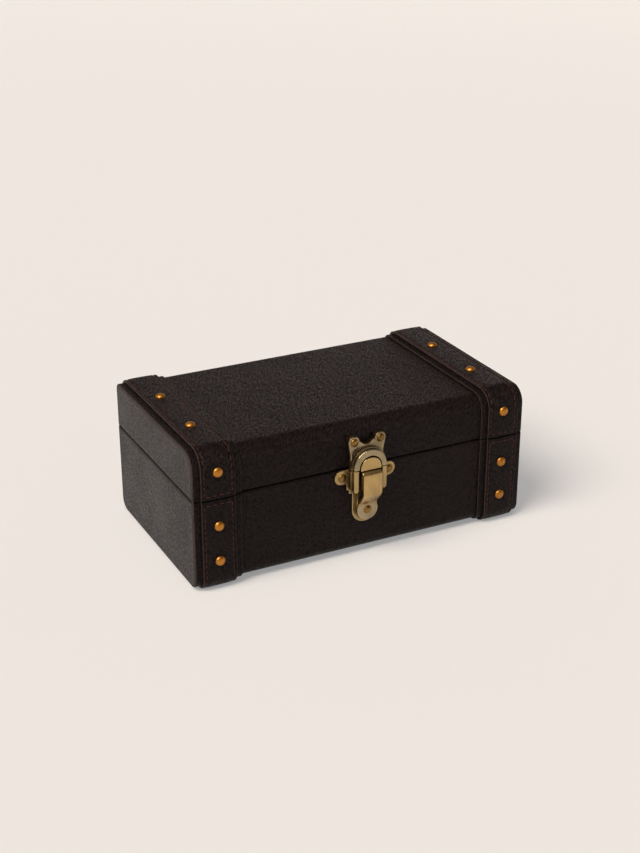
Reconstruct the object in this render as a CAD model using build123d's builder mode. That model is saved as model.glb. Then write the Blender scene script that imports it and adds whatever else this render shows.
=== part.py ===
"""Leather watch box: a trunk-style box of leather-covered boards with a hinged lid,
two strap bands, domed nails, a sprung tongue latch and ten watch cushions.

Millimetres, +Z up, +X to the right and -Y to the front. The origin lies on the surface
that the box stands on, in the middle of everything that the box reaches over.
"""
import os
from math import radians, tan

from build123d import *

os.makedirs("parts", exist_ok=True)

# The body, over its leather
box_length = 290.0
box_width = 158.0
base_height = 73.4
lid_height = 36.6
seam_gap = 0.4
bottom_radius = 8.0
top_front_radius = 12.0
top_back_radius = 5.0

# Sheet and board thicknesses
cover_thickness = 1.2
end_cover_thickness = 1.5
end_cover_edge = 0.6
wall_board = 6.0
floor_board = 5.0
top_board = 5.0
wall_lining = 1.0
floor_lining = 2.5
lid_pad_thickness = 7.0
lid_pad_edge = 3.0

# Straps
under_strap_thickness = 1.5
under_strap_width = 39.0
under_strap_set_back = 0.5
under_strap_edge = 0.5
over_strap_thickness = 2.2
over_strap_width = 28.0
over_strap_from_end = 6.0
over_strap_edge = 0.8

# Domed nails on the straps
nail_head_radius = 4.35
nail_head_height = 1.9
nail_shank_width = 1.8
nail_hole_clearance = 0.05
dome_bands = ((0.8, 0.55), (0.42, 1.0))
nail_top_spacing = 62.0
lid_nail_above_seam = 22.4
base_nail_low = 21.4
base_nail_spacing = 29.6

# Compartments
cushions_per_row = 5
divider_thickness = 3.0
divider_height = 46.0
divider_edge = 0.8
halving_clearance = 0.1
cushion_clearance = 0.5
cushion_lift_off = 0.3
cushion_height = 44.0
cushion_top_radius = 14.0
cushion_bottom_bevel = 5.0

# Hinges
hinge_length = 40.0
hinge_from_middle = 78.0
hinge_axis_clearance = 0.6
knuckle_radius = 2.5
knuckle_count = 3
knuckle_gap = 0.15
knuckle_turning_clearance = 0.3
leaf_thickness = 1.2
leaf_depth = 7.0
leaf_gap = 0.1
pin_radius = 1.1
pin_clearance = 0.05
mortise_clearance = 0.1
screws_per_leaf = 2
screw_spacing = 24.0
screw_inset = 3.6
screw_radius = 1.0
screw_head_radius = 1.9
screw_head_angle = 82.0
screw_length = 9.0
screw_clearance = 0.05

# Latch: across from its middle line, up or down from the seam and out from the cover
latch_plate_thickness = 1.6
latch_plate_drop = 0.3
latch_ear_x = 20.5
latch_ear_drop = 6.4
latch_ear_radius = 6.1
latch_step_half_width = 16.3
latch_step_drop = 18.4
latch_neck_half_width = 14.2
latch_neck_drop = 21.8
latch_tail_radius = 11.2
latch_tail_drop = 37.2
latch_corner_radius = 1.0
latch_edge = 0.4
seat_half_width = 8.8
seat_face = 4.6
tier_half_width = 15.0
tier_drop = 15.6
tier_face = 6.0
rail_inner_x = 10.0
rail_outer_x = 14.4
rail_face = 10.7
rail_above_seam = 1.5
rail_edge = 0.5
stop_bar_height = 2.0
stop_bar_gap = 0.4
stop_bar_face = 8.6
hasp_half_width = 14.4
hasp_face = 4.7
hasp_rise = 0.9
hasp_shoulder_rise = 12.5
hasp_ear_x = 11.4
hasp_ear_rise = 23.2
hasp_ear_radius = 4.8
hasp_web_rise = 20.0
hasp_edge = 0.6
arch_inner_radius = 9.45
arch_inner_rise = 2.5
arch_outer_radius = 14.2
arch_outer_rise = 3.3
arch_face = 10.9
arch_foot_gap = 0.4
arch_edge = 0.5
arch_step_width = 0.9
arch_step_face = 7.6
strike_width = 8.0
strike_rise = 3.5
strike_height = 6.0
strike_depth = 2.6
head_radius = 9.0
head_middle_rise = 2.2
head_cut_rise = 0.7
head_face = 11.5
head_thickness = 3.8
head_edge = 0.5
hook_width = 5.0
hook_height = 3.0
hook_clearance = 0.4
strip_thickness = 1.4
flap_half_width = 8.2
flap_face = 14.9
flap_low = 18.0
flap_bend_radius = 3.8
flap_lip_rise = 0.1
flap_lip_face = 7.4
neck_half_width = 6.0
neck_face = 9.2
flange_depth = 5.5
flange_low = 14.6
flange_corner_radius = 1.5
flap_edge = 0.5
flap_front_share = 0.3
crease_drop = 29.4
crease_face = 9.0
crease_half_width = 7.6
flex_drop = 30.4
flex_face = 6.2
flex_gap = 0.2
foot_drop = 35.8
foot_radius = 9.1
foot_face = 6.2
foot_edge = 0.4
foot_rivet_height = 1.9
rivet_head_radius = 3.2
rivet_head_height = 1.3
rivet_shank_width = 2.4
rivet_clearance = 0.05
rivet_grip = 4.0
latch_touch = 0.01

# Places worked out from the sizes above
nail_hole_width = nail_shank_width + 2 * nail_hole_clearance
rivet_hole_width = rivet_shank_width + 2 * rivet_clearance
strap_total = under_strap_thickness + over_strap_thickness
hinge_set_back = strap_total + hinge_axis_clearance
centre_y = (flap_face - hinge_set_back - knuckle_radius) / 2
front = centre_y - box_width / 2
back = centre_y + box_width / 2
hinge_y = back + hinge_set_back
base_bottom = strap_total
seam = base_bottom + base_height
base_rim = seam - seam_gap / 2
lid_rim = seam + seam_gap / 2
lid_top = seam + lid_height
half_length = box_length / 2
cover_half = half_length - end_cover_thickness
board_half = cover_half - wall_board
lined_half = board_half - wall_lining
inner_front = front + cover_thickness + wall_board
inner_back = back - cover_thickness - wall_board
lined_front = inner_front + wall_lining
lined_back = inner_back - wall_lining
base_board_rim = base_rim - cover_thickness
lid_board_rim = lid_rim + cover_thickness
floor_top = base_bottom + cover_thickness + floor_board
lining_floor = floor_top + floor_lining
lid_ceiling = lid_top - cover_thickness - top_board
under_strap_outer = half_length - under_strap_set_back
under_strap_inner = under_strap_outer - under_strap_width
over_strap_outer = half_length - over_strap_from_end
over_strap_inner = over_strap_outer - over_strap_width
strap_middle = (over_strap_outer + over_strap_inner) / 2
compartment_length = (2 * lined_half - (cushions_per_row - 1) * divider_thickness) / cushions_per_row
compartment_width = (lined_back - lined_front - divider_thickness) / 2
sides = {"left": -1, "right": 1}


def keep(piece, name):
    """Label a finished piece and write its STEP file."""
    piece.label = name
    export_step(piece, f"parts/{name}.step")


def base_outline(grow=0.0, rim=base_rim):
    """The base's side profile, y across and z up, grown outwards from its leather."""
    with BuildSketch() as outline:
        with BuildLine():
            Polyline(
                (front - grow, rim),
                (front - grow, base_bottom - grow),
                (back + grow, base_bottom - grow),
                (back + grow, rim),
                close=True,
            )
        make_face()
        fillet(outline.vertices().group_by(Axis.Y)[0], bottom_radius + grow)
    return outline.sketch


def lid_outline(grow=0.0, rim=lid_rim):
    """The lid's side profile, with a large radius in front and a small one behind."""
    with BuildSketch() as outline:
        with BuildLine():
            Polyline(
                (front - grow, rim),
                (front - grow, lid_top + grow),
                (back + grow, lid_top + grow),
                (back + grow, rim),
                close=True,
            )
        make_face()
        top_corners = outline.vertices().group_by(Axis.Y)[-1].sort_by(Axis.X)
        fillet(top_corners[0], top_front_radius + grow)
        fillet(outline.vertices().group_by(Axis.Y)[-1].sort_by(Axis.X)[-1], top_back_radius + grow)
    return outline.sketch


def region(low_y, high_y, low_z, high_z):
    """A rectangle of the side profile, given by its limits."""
    with BuildSketch() as rectangle:
        with Locations(((low_y + high_y) / 2, (low_z + high_z) / 2)):
            Rectangle(high_y - low_y, high_z - low_z)
    return rectangle.sketch


def front_plane(x, z, out=0.0):
    """A plane on the front of the box, or out from it, facing forwards."""
    return Plane(origin=(x, front - out, z), x_dir=(1, 0, 0), z_dir=(0, -1, 0))


def back_plane(x, z, out=0.0):
    """A plane on the back of the box, or out from it, facing backwards."""
    return Plane(origin=(x, back + out, z), x_dir=(-1, 0, 0), z_dir=(0, 1, 0))


def lid_nail_planes(x):
    """Where the nails of one lid strap stand: two on top, one in front, one behind."""
    height = seam + lid_nail_above_seam
    return [
        Plane(origin=(x, centre_y - nail_top_spacing / 2, lid_top + strap_total)),
        Plane(origin=(x, centre_y + nail_top_spacing / 2, lid_top + strap_total)),
        front_plane(x, height, strap_total),
        back_plane(x, height, strap_total),
    ]


def base_nail_planes(x):
    """Where the nails of one base strap stand: two in front and two behind."""
    low = base_bottom + base_nail_low
    heights = (low, low + base_nail_spacing)
    return [plane(x, z, strap_total) for plane in (front_plane, back_plane) for z in heights]


def board(profile, low_x, high_x):
    """A board with a given side profile between two distances along the box."""
    with BuildPart() as piece:
        with BuildSketch(Plane.YZ.offset(low_x)):
            add(profile)
        extrude(amount=high_x - low_x)
    return piece.part


def strap(outline, rim, inner, outer, ends, edge_cut, nail_planes):
    """A band between two grown outlines, its long edges bevelled, with its nail holes."""
    low_x, high_x = sorted(ends)
    outer_profile = outline(outer)
    inner_profile = outline(inner)
    with BuildPart() as band:
        with BuildSketch(Plane.YZ.offset(low_x)):
            add(outer_profile)
        extrude(amount=high_x - low_x)
        long_edges = band.edges().filter_by(Axis.X, reverse=True)
        chamfer(long_edges.filter_by(lambda edge: abs(edge.center().Z - rim) > seam_gap), edge_cut)
        with BuildSketch(Plane.YZ.offset(low_x)):
            add(inner_profile)
        extrude(amount=high_x - low_x, mode=Mode.SUBTRACT)
        with BuildSketch(*nail_planes):
            Rectangle(nail_hole_width, nail_hole_width)
        extrude(amount=-strap_total, mode=Mode.SUBTRACT)
    return band.part


def end_cover(outline, rim, flange_z, side):
    """The flat leather of one end, its edge skived, turned in over the rim."""
    low_x, high_x = sorted((side * cover_half, side * half_length))
    profile = outline()
    with BuildPart() as cover:
        with BuildSketch(Plane.YZ.offset(low_x)):
            add(profile)
        extrude(amount=high_x - low_x)
        outer_face = cover.faces().sort_by(Axis.X)[-1 if side > 0 else 0]
        skived = outer_face.edges().filter_by(lambda edge: abs(edge.center().Z - rim) > seam_gap)
        chamfer(skived, end_cover_edge)
        with Locations(((board_half + cover_half) / 2 * side, centre_y, (rim + flange_z) / 2)):
            Box(wall_board, inner_back - inner_front, abs(rim - flange_z))
    return cover.part


def domed_pins(planes, head_radius, head_height, shank_width, shank):
    """Nails or rivets: each head is a dome in bands, on a square shank that goes in behind it."""
    bands = [(head_radius * across, head_height * up) for across, up in dome_bands]
    with BuildPart() as pins:
        for plane in planes:
            with BuildSketch(Plane(plane.origin, x_dir=plane.x_dir, z_dir=-plane.y_dir)):
                with BuildLine():
                    Polyline((0, 0), (head_radius, 0), *bands, (0, head_height), close=True)
                make_face()
            revolve(axis=Axis(plane.origin, plane.z_dir))
            with BuildSketch(plane):
                Rectangle(shank_width, shank_width)
            extrude(amount=-shank)
    return pins.part


def hinge_slot(z_side):
    """The mortises of both hinges in the rim below (-1) or above (+1) the seam."""
    depth = leaf_gap + leaf_thickness
    reach = leaf_depth + mortise_clearance
    with BuildPart() as slots:
        with Locations(*[(side * hinge_from_middle, back - reach / 2, seam + z_side * depth / 2)
                         for side in sides.values()]):
            Box(hinge_length + 2 * mortise_clearance, reach, depth)
    return slots.part


def screw_spots():
    """Where the hinge screws go, along x, for both hinges."""
    middle = (screws_per_leaf - 1) / 2
    return [
        (side * hinge_from_middle + (number - middle) * screw_spacing)
        for side in sides.values()
        for number in range(screws_per_leaf)
    ]


def screw_holes(z_side):
    """The screws' pilot holes in the rim below (-1) or above (+1) the seam."""
    with BuildPart() as holes:
        depth = screw_length + 2 * screw_clearance
        for x in screw_spots():
            with Locations((x, back - screw_inset, seam + z_side * (leaf_gap + depth / 2))):
                Cylinder(screw_radius + screw_clearance, depth)
    return holes.part


def screws(z_side):
    """Countersunk screws whose heads lie level with the leaf's face."""
    head_height = (screw_head_radius - screw_radius) / tan(radians(screw_head_angle / 2))
    with BuildPart() as group:
        for x in screw_spots():
            face = Plane(
                origin=(x, back - screw_inset, seam + z_side * leaf_gap),
                x_dir=(1, 0, 0),
                z_dir=(0, 0, z_side),
            )
            with BuildSketch(Plane(face.origin, x_dir=face.x_dir, z_dir=-face.y_dir)):
                with BuildLine():
                    Polyline((0, 0), (screw_head_radius, 0), (screw_radius, head_height),
                             (screw_radius, screw_length), (0, screw_length), close=True)
                make_face()
            revolve(axis=Axis(face.origin, face.z_dir))
    return group.part


def hinge_leaves(z_side):
    """Both hinges' leaves of one side, with their knuckles and countersunk holes.

    The base's leaves carry the odd knuckles and the lid's the even ones, counted along x.
    """
    pitch = hinge_length / knuckle_count
    low_z, high_z = sorted((seam + z_side * leaf_gap, seam + z_side * (leaf_gap + leaf_thickness)))
    bite = knuckle_radius + knuckle_turning_clearance
    head_height = (screw_head_radius - screw_radius) / tan(radians(screw_head_angle / 2))
    with BuildPart() as leaves:
        for side in sides.values():
            middle = side * hinge_from_middle
            with Locations((middle, (back - leaf_depth + hinge_y) / 2, (low_z + high_z) / 2)):
                Box(hinge_length, hinge_y - back + leaf_depth, high_z - low_z)
            for number in range(knuckle_count):
                x = middle + (number - (knuckle_count - 1) / 2) * pitch
                own = (number % 2 == 0) == (z_side < 0)
                with Locations(Location((x, hinge_y, seam), (0, 90, 0))):
                    if own:
                        Cylinder(knuckle_radius, pitch - knuckle_gap)
                    else:
                        Cylinder(bite, pitch + knuckle_gap, mode=Mode.SUBTRACT)
        for side in sides.values():
            with Locations(Location((side * hinge_from_middle, hinge_y, seam), (0, 90, 0))):
                Cylinder(pin_radius + pin_clearance, hinge_length, mode=Mode.SUBTRACT)
        for x in screw_spots():
            face = Plane(
                origin=(x, back - screw_inset, seam + z_side * leaf_gap),
                x_dir=(1, 0, 0),
                z_dir=(0, 0, z_side),
            )
            with BuildSketch(Plane(face.origin, x_dir=face.x_dir, z_dir=-face.y_dir)):
                with BuildLine():
                    Polyline((0, 0), (screw_head_radius + screw_clearance, 0),
                             (screw_radius + screw_clearance, head_height),
                             (screw_radius + screw_clearance, 2 * leaf_thickness),
                             (0, 2 * leaf_thickness), close=True)
                make_face()
            revolve(axis=Axis(face.origin, face.z_dir), mode=Mode.SUBTRACT)
    return leaves.part


def latch_plane(out=0.0, x=0.0, rise=0.0):
    """A plane parallel to the front cover, in the latch's own measures."""
    return front_plane(x, seam + rise, out)


def latch_side(x):
    """A plane across the latch: local x runs out from the cover and local y runs up."""
    return Plane(origin=(x, front, seam), x_dir=(0, -1, 0), z_dir=(-1, 0, 0))


def rivet_holes(spots, face):
    """Rivet holes through the latch's metal, up to a face, and on into the board."""
    depth = rivet_grip + rivet_clearance
    with BuildPart() as holes:
        with BuildSketch(latch_plane(-depth)):
            with Locations(*spots):
                Rectangle(rivet_hole_width, rivet_hole_width)
        extrude(amount=depth + face)
    return holes.part


def rivets(spots, face, head_height=rivet_head_height):
    """Domed rivets on a face of the latch, gripping in the board behind the cover."""
    planes = [latch_plane(face, x, rise) for x, rise in spots]
    return domed_pins(planes, rivet_head_radius, head_height, rivet_shank_width, face + rivet_grip)


def upright(half_width, low, high, mode=Mode.ADD):
    """A rectangle in a latch sketch, centred across, between two heights."""
    with Locations((0, (low + high) / 2)):
        Rectangle(2 * half_width, high - low, mode=mode)


# Base boards and leather
base_profile = base_outline(-cover_thickness, base_board_rim)
base_middle = region(inner_front, inner_back, base_bottom, floor_top)
base_front_strip = region(front, inner_front, base_bottom, base_rim)
base_back_strip = region(inner_back, back, base_bottom, base_rim)
base_ear_spots = [(-latch_ear_x, -latch_ear_drop), (latch_ear_x, -latch_ear_drop)]
foot_spot = [(0, -foot_drop)]
hasp_ear_spots = [(-hasp_ear_x, hasp_ear_rise), (hasp_ear_x, hasp_ear_rise)]
base_rivet_holes = rivet_holes(base_ear_spots + foot_spot, foot_face)
hasp_rivet_holes = rivet_holes(hasp_ear_spots, hasp_face)

with BuildPart() as base_floor_board:
    with BuildSketch(Plane.YZ.offset(-board_half)):
        add(base_profile)
        add(base_middle, mode=Mode.INTERSECT)
    extrude(amount=2 * board_half)
keep(base_floor_board.part, "base_floor_board")

with BuildPart() as base_front_board:
    with BuildSketch(Plane.YZ.offset(-board_half)):
        add(base_profile)
        add(base_front_strip, mode=Mode.INTERSECT)
    extrude(amount=2 * board_half)
    add(base_rivet_holes, mode=Mode.SUBTRACT)
keep(base_front_board.part, "base_front_board")

with BuildPart() as base_back_board:
    with BuildSketch(Plane.YZ.offset(-board_half)):
        add(base_profile)
        add(base_back_strip, mode=Mode.INTERSECT)
    extrude(amount=2 * board_half)
    add(hinge_slot(-1), mode=Mode.SUBTRACT)
    add(screw_holes(-1), mode=Mode.SUBTRACT)
keep(base_back_board.part, "base_back_board")

for name, side in sides.items():
    low_x = min(side * board_half, side * cover_half)
    keep(board(base_profile, low_x, low_x + wall_board), f"base_{name}_end_board")

with BuildPart() as base_cover:
    with BuildSketch(Plane.YZ.offset(-cover_half)):
        add(base_outline())
        add(base_outline(-cover_thickness), mode=Mode.SUBTRACT)
        add(region(front, inner_front, base_board_rim, base_rim))
        add(region(inner_back, back, base_board_rim, base_rim))
    extrude(amount=2 * cover_half)
    add(hinge_slot(-1), mode=Mode.SUBTRACT)
    add(screw_holes(-1), mode=Mode.SUBTRACT)
    add(base_rivet_holes, mode=Mode.SUBTRACT)
keep(base_cover.part, "base_leather_cover")

for name, side in sides.items():
    keep(end_cover(base_outline, base_rim, base_board_rim, side), f"base_{name}_end_leather")

# Lid boards and leather
lid_profile = lid_outline(-cover_thickness, lid_board_rim)
lid_middle = region(inner_front, inner_back, lid_ceiling, lid_top)
lid_front_strip = region(front, inner_front, lid_rim, lid_top)
lid_back_strip = region(inner_back, back, lid_rim, lid_top)

with BuildPart() as lid_top_board:
    with BuildSketch(Plane.YZ.offset(-board_half)):
        add(lid_profile)
        add(lid_middle, mode=Mode.INTERSECT)
    extrude(amount=2 * board_half)
keep(lid_top_board.part, "lid_top_board")

with BuildPart() as lid_front_board:
    with BuildSketch(Plane.YZ.offset(-board_half)):
        add(lid_profile)
        add(lid_front_strip, mode=Mode.INTERSECT)
    extrude(amount=2 * board_half)
    add(hasp_rivet_holes, mode=Mode.SUBTRACT)
keep(lid_front_board.part, "lid_front_board")

with BuildPart() as lid_back_board:
    with BuildSketch(Plane.YZ.offset(-board_half)):
        add(lid_profile)
        add(lid_back_strip, mode=Mode.INTERSECT)
    extrude(amount=2 * board_half)
    add(hinge_slot(1), mode=Mode.SUBTRACT)
    add(screw_holes(1), mode=Mode.SUBTRACT)
keep(lid_back_board.part, "lid_back_board")

for name, side in sides.items():
    low_x = min(side * board_half, side * cover_half)
    keep(board(lid_profile, low_x, low_x + wall_board), f"lid_{name}_end_board")

with BuildPart() as lid_cover:
    with BuildSketch(Plane.YZ.offset(-cover_half)):
        add(lid_outline())
        add(lid_outline(-cover_thickness), mode=Mode.SUBTRACT)
        add(region(front, inner_front, lid_rim, lid_board_rim))
        add(region(inner_back, back, lid_rim, lid_board_rim))
    extrude(amount=2 * cover_half)
    add(hinge_slot(1), mode=Mode.SUBTRACT)
    add(screw_holes(1), mode=Mode.SUBTRACT)
    add(hasp_rivet_holes, mode=Mode.SUBTRACT)
keep(lid_cover.part, "lid_leather_cover")

for name, side in sides.items():
    keep(end_cover(lid_outline, lid_rim, lid_board_rim, side), f"lid_{name}_end_leather")

# Straps and their nails
for part_name, outline, rim, planes_at in (
    ("base", base_outline, base_rim, base_nail_planes),
    ("lid", lid_outline, lid_rim, lid_nail_planes),
):
    all_planes = []
    for name, side in sides.items():
        planes = planes_at(side * strap_middle)
        all_planes += planes
        under = strap(
            outline,
            rim,
            0.0,
            under_strap_thickness,
            (side * under_strap_inner, side * under_strap_outer),
            under_strap_edge,
            planes,
        )
        keep(under, f"{part_name}_{name}_under_strap")
        over = strap(
            outline,
            rim,
            under_strap_thickness,
            strap_total,
            (side * over_strap_inner, side * over_strap_outer),
            over_strap_edge,
            planes,
        )
        keep(over, f"{part_name}_{name}_over_strap")
    nails = domed_pins(all_planes, nail_head_radius, nail_head_height, nail_shank_width, strap_total)
    keep(nails, f"{part_name}_nails")

# Linings
with BuildPart() as base_lining:
    with BuildSketch(Plane.XY.offset(floor_top)):
        with Locations((0, centre_y)):
            Rectangle(2 * board_half, inner_back - inner_front)
    extrude(amount=base_rim - floor_top)
    with BuildSketch(Plane.XY.offset(lining_floor)):
        with Locations((0, centre_y)):
            Rectangle(2 * lined_half, lined_back - lined_front)
    extrude(amount=base_rim - lining_floor, mode=Mode.SUBTRACT)
keep(base_lining.part, "base_lining")

with BuildPart() as lid_lining:
    with BuildSketch(Plane.XY.offset(lid_rim)):
        with Locations((0, centre_y)):
            Rectangle(2 * board_half, inner_back - inner_front)
            Rectangle(2 * lined_half, lined_back - lined_front, mode=Mode.SUBTRACT)
    extrude(amount=lid_ceiling - lid_rim)
keep(lid_lining.part, "lid_lining")

with BuildPart() as lid_pad:
    with BuildSketch(Plane.XY.offset(lid_ceiling)):
        with Locations((0, centre_y)):
            Rectangle(2 * lined_half, lined_back - lined_front)
    extrude(amount=-lid_pad_thickness)
    chamfer(lid_pad.faces().sort_by(Axis.Z)[0].edges(), lid_pad_edge)
keep(lid_pad.part, "lid_pad")

# Dividers, halved into each other
cross_x = [
    -lined_half + number * compartment_length + (number - 0.5) * divider_thickness
    for number in range(1, cushions_per_row)
]
slot_width = divider_thickness + 2 * halving_clearance
half_height = divider_height / 2
with BuildPart() as long_divider:
    with BuildSketch(Plane.XY.offset(lining_floor)):
        with Locations((0, centre_y)):
            Rectangle(2 * lined_half, divider_thickness)
    extrude(amount=divider_height)
    chamfer(long_divider.faces().sort_by(Axis.Z)[-1].edges().filter_by(Axis.X), divider_edge)
    with Locations(*[(x, centre_y, lining_floor + half_height / 2) for x in cross_x]):
        Box(slot_width, slot_width, half_height + 2 * halving_clearance, mode=Mode.SUBTRACT)
keep(long_divider.part, "long_divider")

for number, x in enumerate(cross_x, start=1):
    with BuildPart() as cross_divider:
        with BuildSketch(Plane.XY.offset(lining_floor)):
            with Locations((x, centre_y)):
                Rectangle(divider_thickness, lined_back - lined_front)
        extrude(amount=divider_height)
        chamfer(cross_divider.faces().sort_by(Axis.Z)[-1].edges().filter_by(Axis.Y), divider_edge)
        with Locations((x, centre_y, lining_floor + divider_height - half_height / 2)):
            Box(slot_width, slot_width, half_height + 2 * halving_clearance, mode=Mode.SUBTRACT)
    keep(cross_divider.part, f"cross_divider_{number}")

# Watch cushions, in two rows
cushion_length = compartment_length - 2 * cushion_clearance
cushion_width = compartment_width - 2 * cushion_clearance
for row, row_y in enumerate((lined_front + compartment_width / 2, lined_back - compartment_width / 2)):
    for place in range(cushions_per_row):
        x = -lined_half + compartment_length / 2 + place * (compartment_length + divider_thickness)
        with BuildPart() as cushion:
            with BuildSketch(Plane.YZ.offset(x - cushion_length / 2)) as cushion_profile:
                with Locations((row_y, lining_floor + cushion_lift_off + cushion_height / 2)):
                    Rectangle(cushion_width, cushion_height)
                fillet(cushion_profile.vertices().group_by(Axis.Y)[-1], cushion_top_radius)
                chamfer(cushion_profile.vertices().group_by(Axis.Y)[0], cushion_bottom_bevel)
            extrude(amount=cushion_length)
        keep(cushion.part, f"watch_cushion_{row * cushions_per_row + place + 1:02d}")

# Hinges
keep(hinge_leaves(-1), "base_hinge_leaves")
keep(hinge_leaves(1), "lid_hinge_leaves")
keep(screws(-1), "base_hinge_screws")
keep(screws(1), "lid_hinge_screws")
with BuildPart() as hinge_pins:
    with Locations(*[Location((side * hinge_from_middle, hinge_y, seam), (0, 90, 0))
                     for side in sides.values()]):
        Cylinder(pin_radius, hinge_length - knuckle_gap)
keep(hinge_pins.part, "hinge_pins")

# Latch base plate: a flat plate with ears, a step, a neck and a round tail; on it stand
# the tongue's seat, a tier, two rails with rounded feet and the bar that stops the tongue
rail_width = rail_outer_x - rail_inner_x
rail_middle = (rail_outer_x + rail_inner_x) / 2
bar_high = -flange_low - stop_bar_gap
with BuildPart() as latch_base_plate:
    with BuildSketch(latch_plane()) as plate_outline:
        with Locations(*base_ear_spots):
            Circle(latch_ear_radius)
        upright(latch_ear_x, -latch_ear_drop - latch_ear_radius, -latch_plate_drop)
        upright(latch_step_half_width, -latch_step_drop, -latch_ear_drop)
        upright(latch_neck_half_width, -latch_neck_drop, -latch_ear_drop)
        upright(latch_tail_radius, -latch_tail_drop, -latch_ear_drop)
        with Locations((0, -latch_tail_drop)):
            Circle(latch_tail_radius)
        corners = plate_outline.vertices().filter_by(
            lambda corner: -latch_neck_drop - latch_corner_radius < corner.Y < -latch_ear_drop
            and abs(corner.X) < latch_step_half_width + latch_corner_radius
        )
        fillet(corners, latch_corner_radius)
    extrude(amount=latch_plate_thickness)
    chamfer(latch_base_plate.faces().sort_by(Axis.Y)[0].edges(), latch_edge)
    with BuildSketch(latch_plane()):
        upright(seat_half_width, -foot_drop, -tier_drop)
        with Locations((0, -foot_drop)):
            Circle(seat_half_width)
    extrude(amount=seat_face)
    with BuildSketch(latch_plane()):
        upright(tier_half_width, -tier_drop, -latch_plate_drop)
    extrude(amount=tier_face)
    with BuildSketch(latch_plane()):
        for side in sides.values():
            with Locations((side * rail_middle, (-latch_plate_drop - tier_drop) / 2)):
                Rectangle(rail_width, tier_drop - latch_plate_drop)
            with Locations((side * rail_middle, -tier_drop)):
                Circle(rail_width / 2)
    extrude(amount=rail_face)
    with BuildSketch(latch_plane(hasp_face + arch_foot_gap)):
        for side in sides.values():
            with Locations((side * rail_middle, (rail_above_seam - latch_plate_drop) / 2)):
                Rectangle(rail_width, rail_above_seam + latch_plate_drop)
    extrude(amount=rail_face - hasp_face - arch_foot_gap)
    rail_fronts = latch_base_plate.faces().filter_by(Axis.Y).group_by(Axis.Y)[0]
    chamfer(rail_fronts.edges(), rail_edge)
    with BuildSketch(latch_plane()):
        upright(rail_middle, bar_high - stop_bar_height, bar_high)
    extrude(amount=stop_bar_face)
    add(base_rivet_holes, mode=Mode.SUBTRACT)
keep(latch_base_plate.part, "latch_base_plate")
keep(rivets(base_ear_spots, latch_plate_thickness), "latch_base_rivets")

# Latch hasp plate: a thick casting with two ears and a hollow web, and on it the arch
# that the tongue's head fills, with a stepped outside and a strike pocket behind the head
arch_foot = rail_above_seam + arch_foot_gap
web_radius = hasp_ear_x - hasp_ear_radius
with BuildPart() as latch_hasp_plate:
    with BuildSketch(latch_plane()):
        with BuildLine():
            Polyline(
                (-hasp_half_width, hasp_rise),
                (-hasp_half_width, hasp_shoulder_rise),
                (-hasp_ear_x - hasp_ear_radius, hasp_ear_rise),
                (hasp_ear_x + hasp_ear_radius, hasp_ear_rise),
                (hasp_half_width, hasp_shoulder_rise),
                (hasp_half_width, hasp_rise),
                close=True,
            )
        make_face()
        with Locations(*hasp_ear_spots):
            Circle(hasp_ear_radius)
        with Locations((0, hasp_web_rise + web_radius)):
            Circle(web_radius, mode=Mode.SUBTRACT)
    extrude(amount=hasp_face)
    plate_front = latch_hasp_plate.faces().sort_by(Axis.Y)[0]
    above_foot = plate_front.edges().filter_by(lambda edge: edge.center().Z > seam + 2 * hasp_rise)
    chamfer(above_foot, hasp_edge)
    for radius, face in (
        (arch_outer_radius + arch_step_width, arch_step_face),
        (arch_outer_radius, arch_face),
    ):
        with BuildSketch(latch_plane()):
            with Locations((0, arch_outer_rise)):
                Circle(radius)
            upright(radius, arch_foot, arch_outer_rise)
            upright(hasp_half_width, arch_foot, arch_outer_rise + radius, mode=Mode.INTERSECT)
        extrude(amount=face)
    with BuildSketch(latch_plane(hasp_face)):
        with Locations((0, arch_inner_rise)):
            Circle(arch_inner_radius)
        upright(arch_inner_radius, -arch_inner_radius, arch_inner_rise)
    extrude(amount=arch_face, mode=Mode.SUBTRACT)
    arch_front = latch_hasp_plate.faces().filter_by(Axis.Y).sort_by(Axis.Y)[0]
    chamfer(arch_front.edges().filter_by(GeomType.CIRCLE), arch_edge)
    with BuildSketch(latch_plane(hasp_face - strike_depth)):
        upright(strike_width / 2, strike_rise, strike_rise + strike_height)
    extrude(amount=strike_depth, mode=Mode.SUBTRACT)
    add(hasp_rivet_holes, mode=Mode.SUBTRACT)
keep(latch_hasp_plate.part, "latch_hasp_plate")
keep(rivets(hasp_ear_spots, hasp_face), "latch_hasp_rivets")

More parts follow.
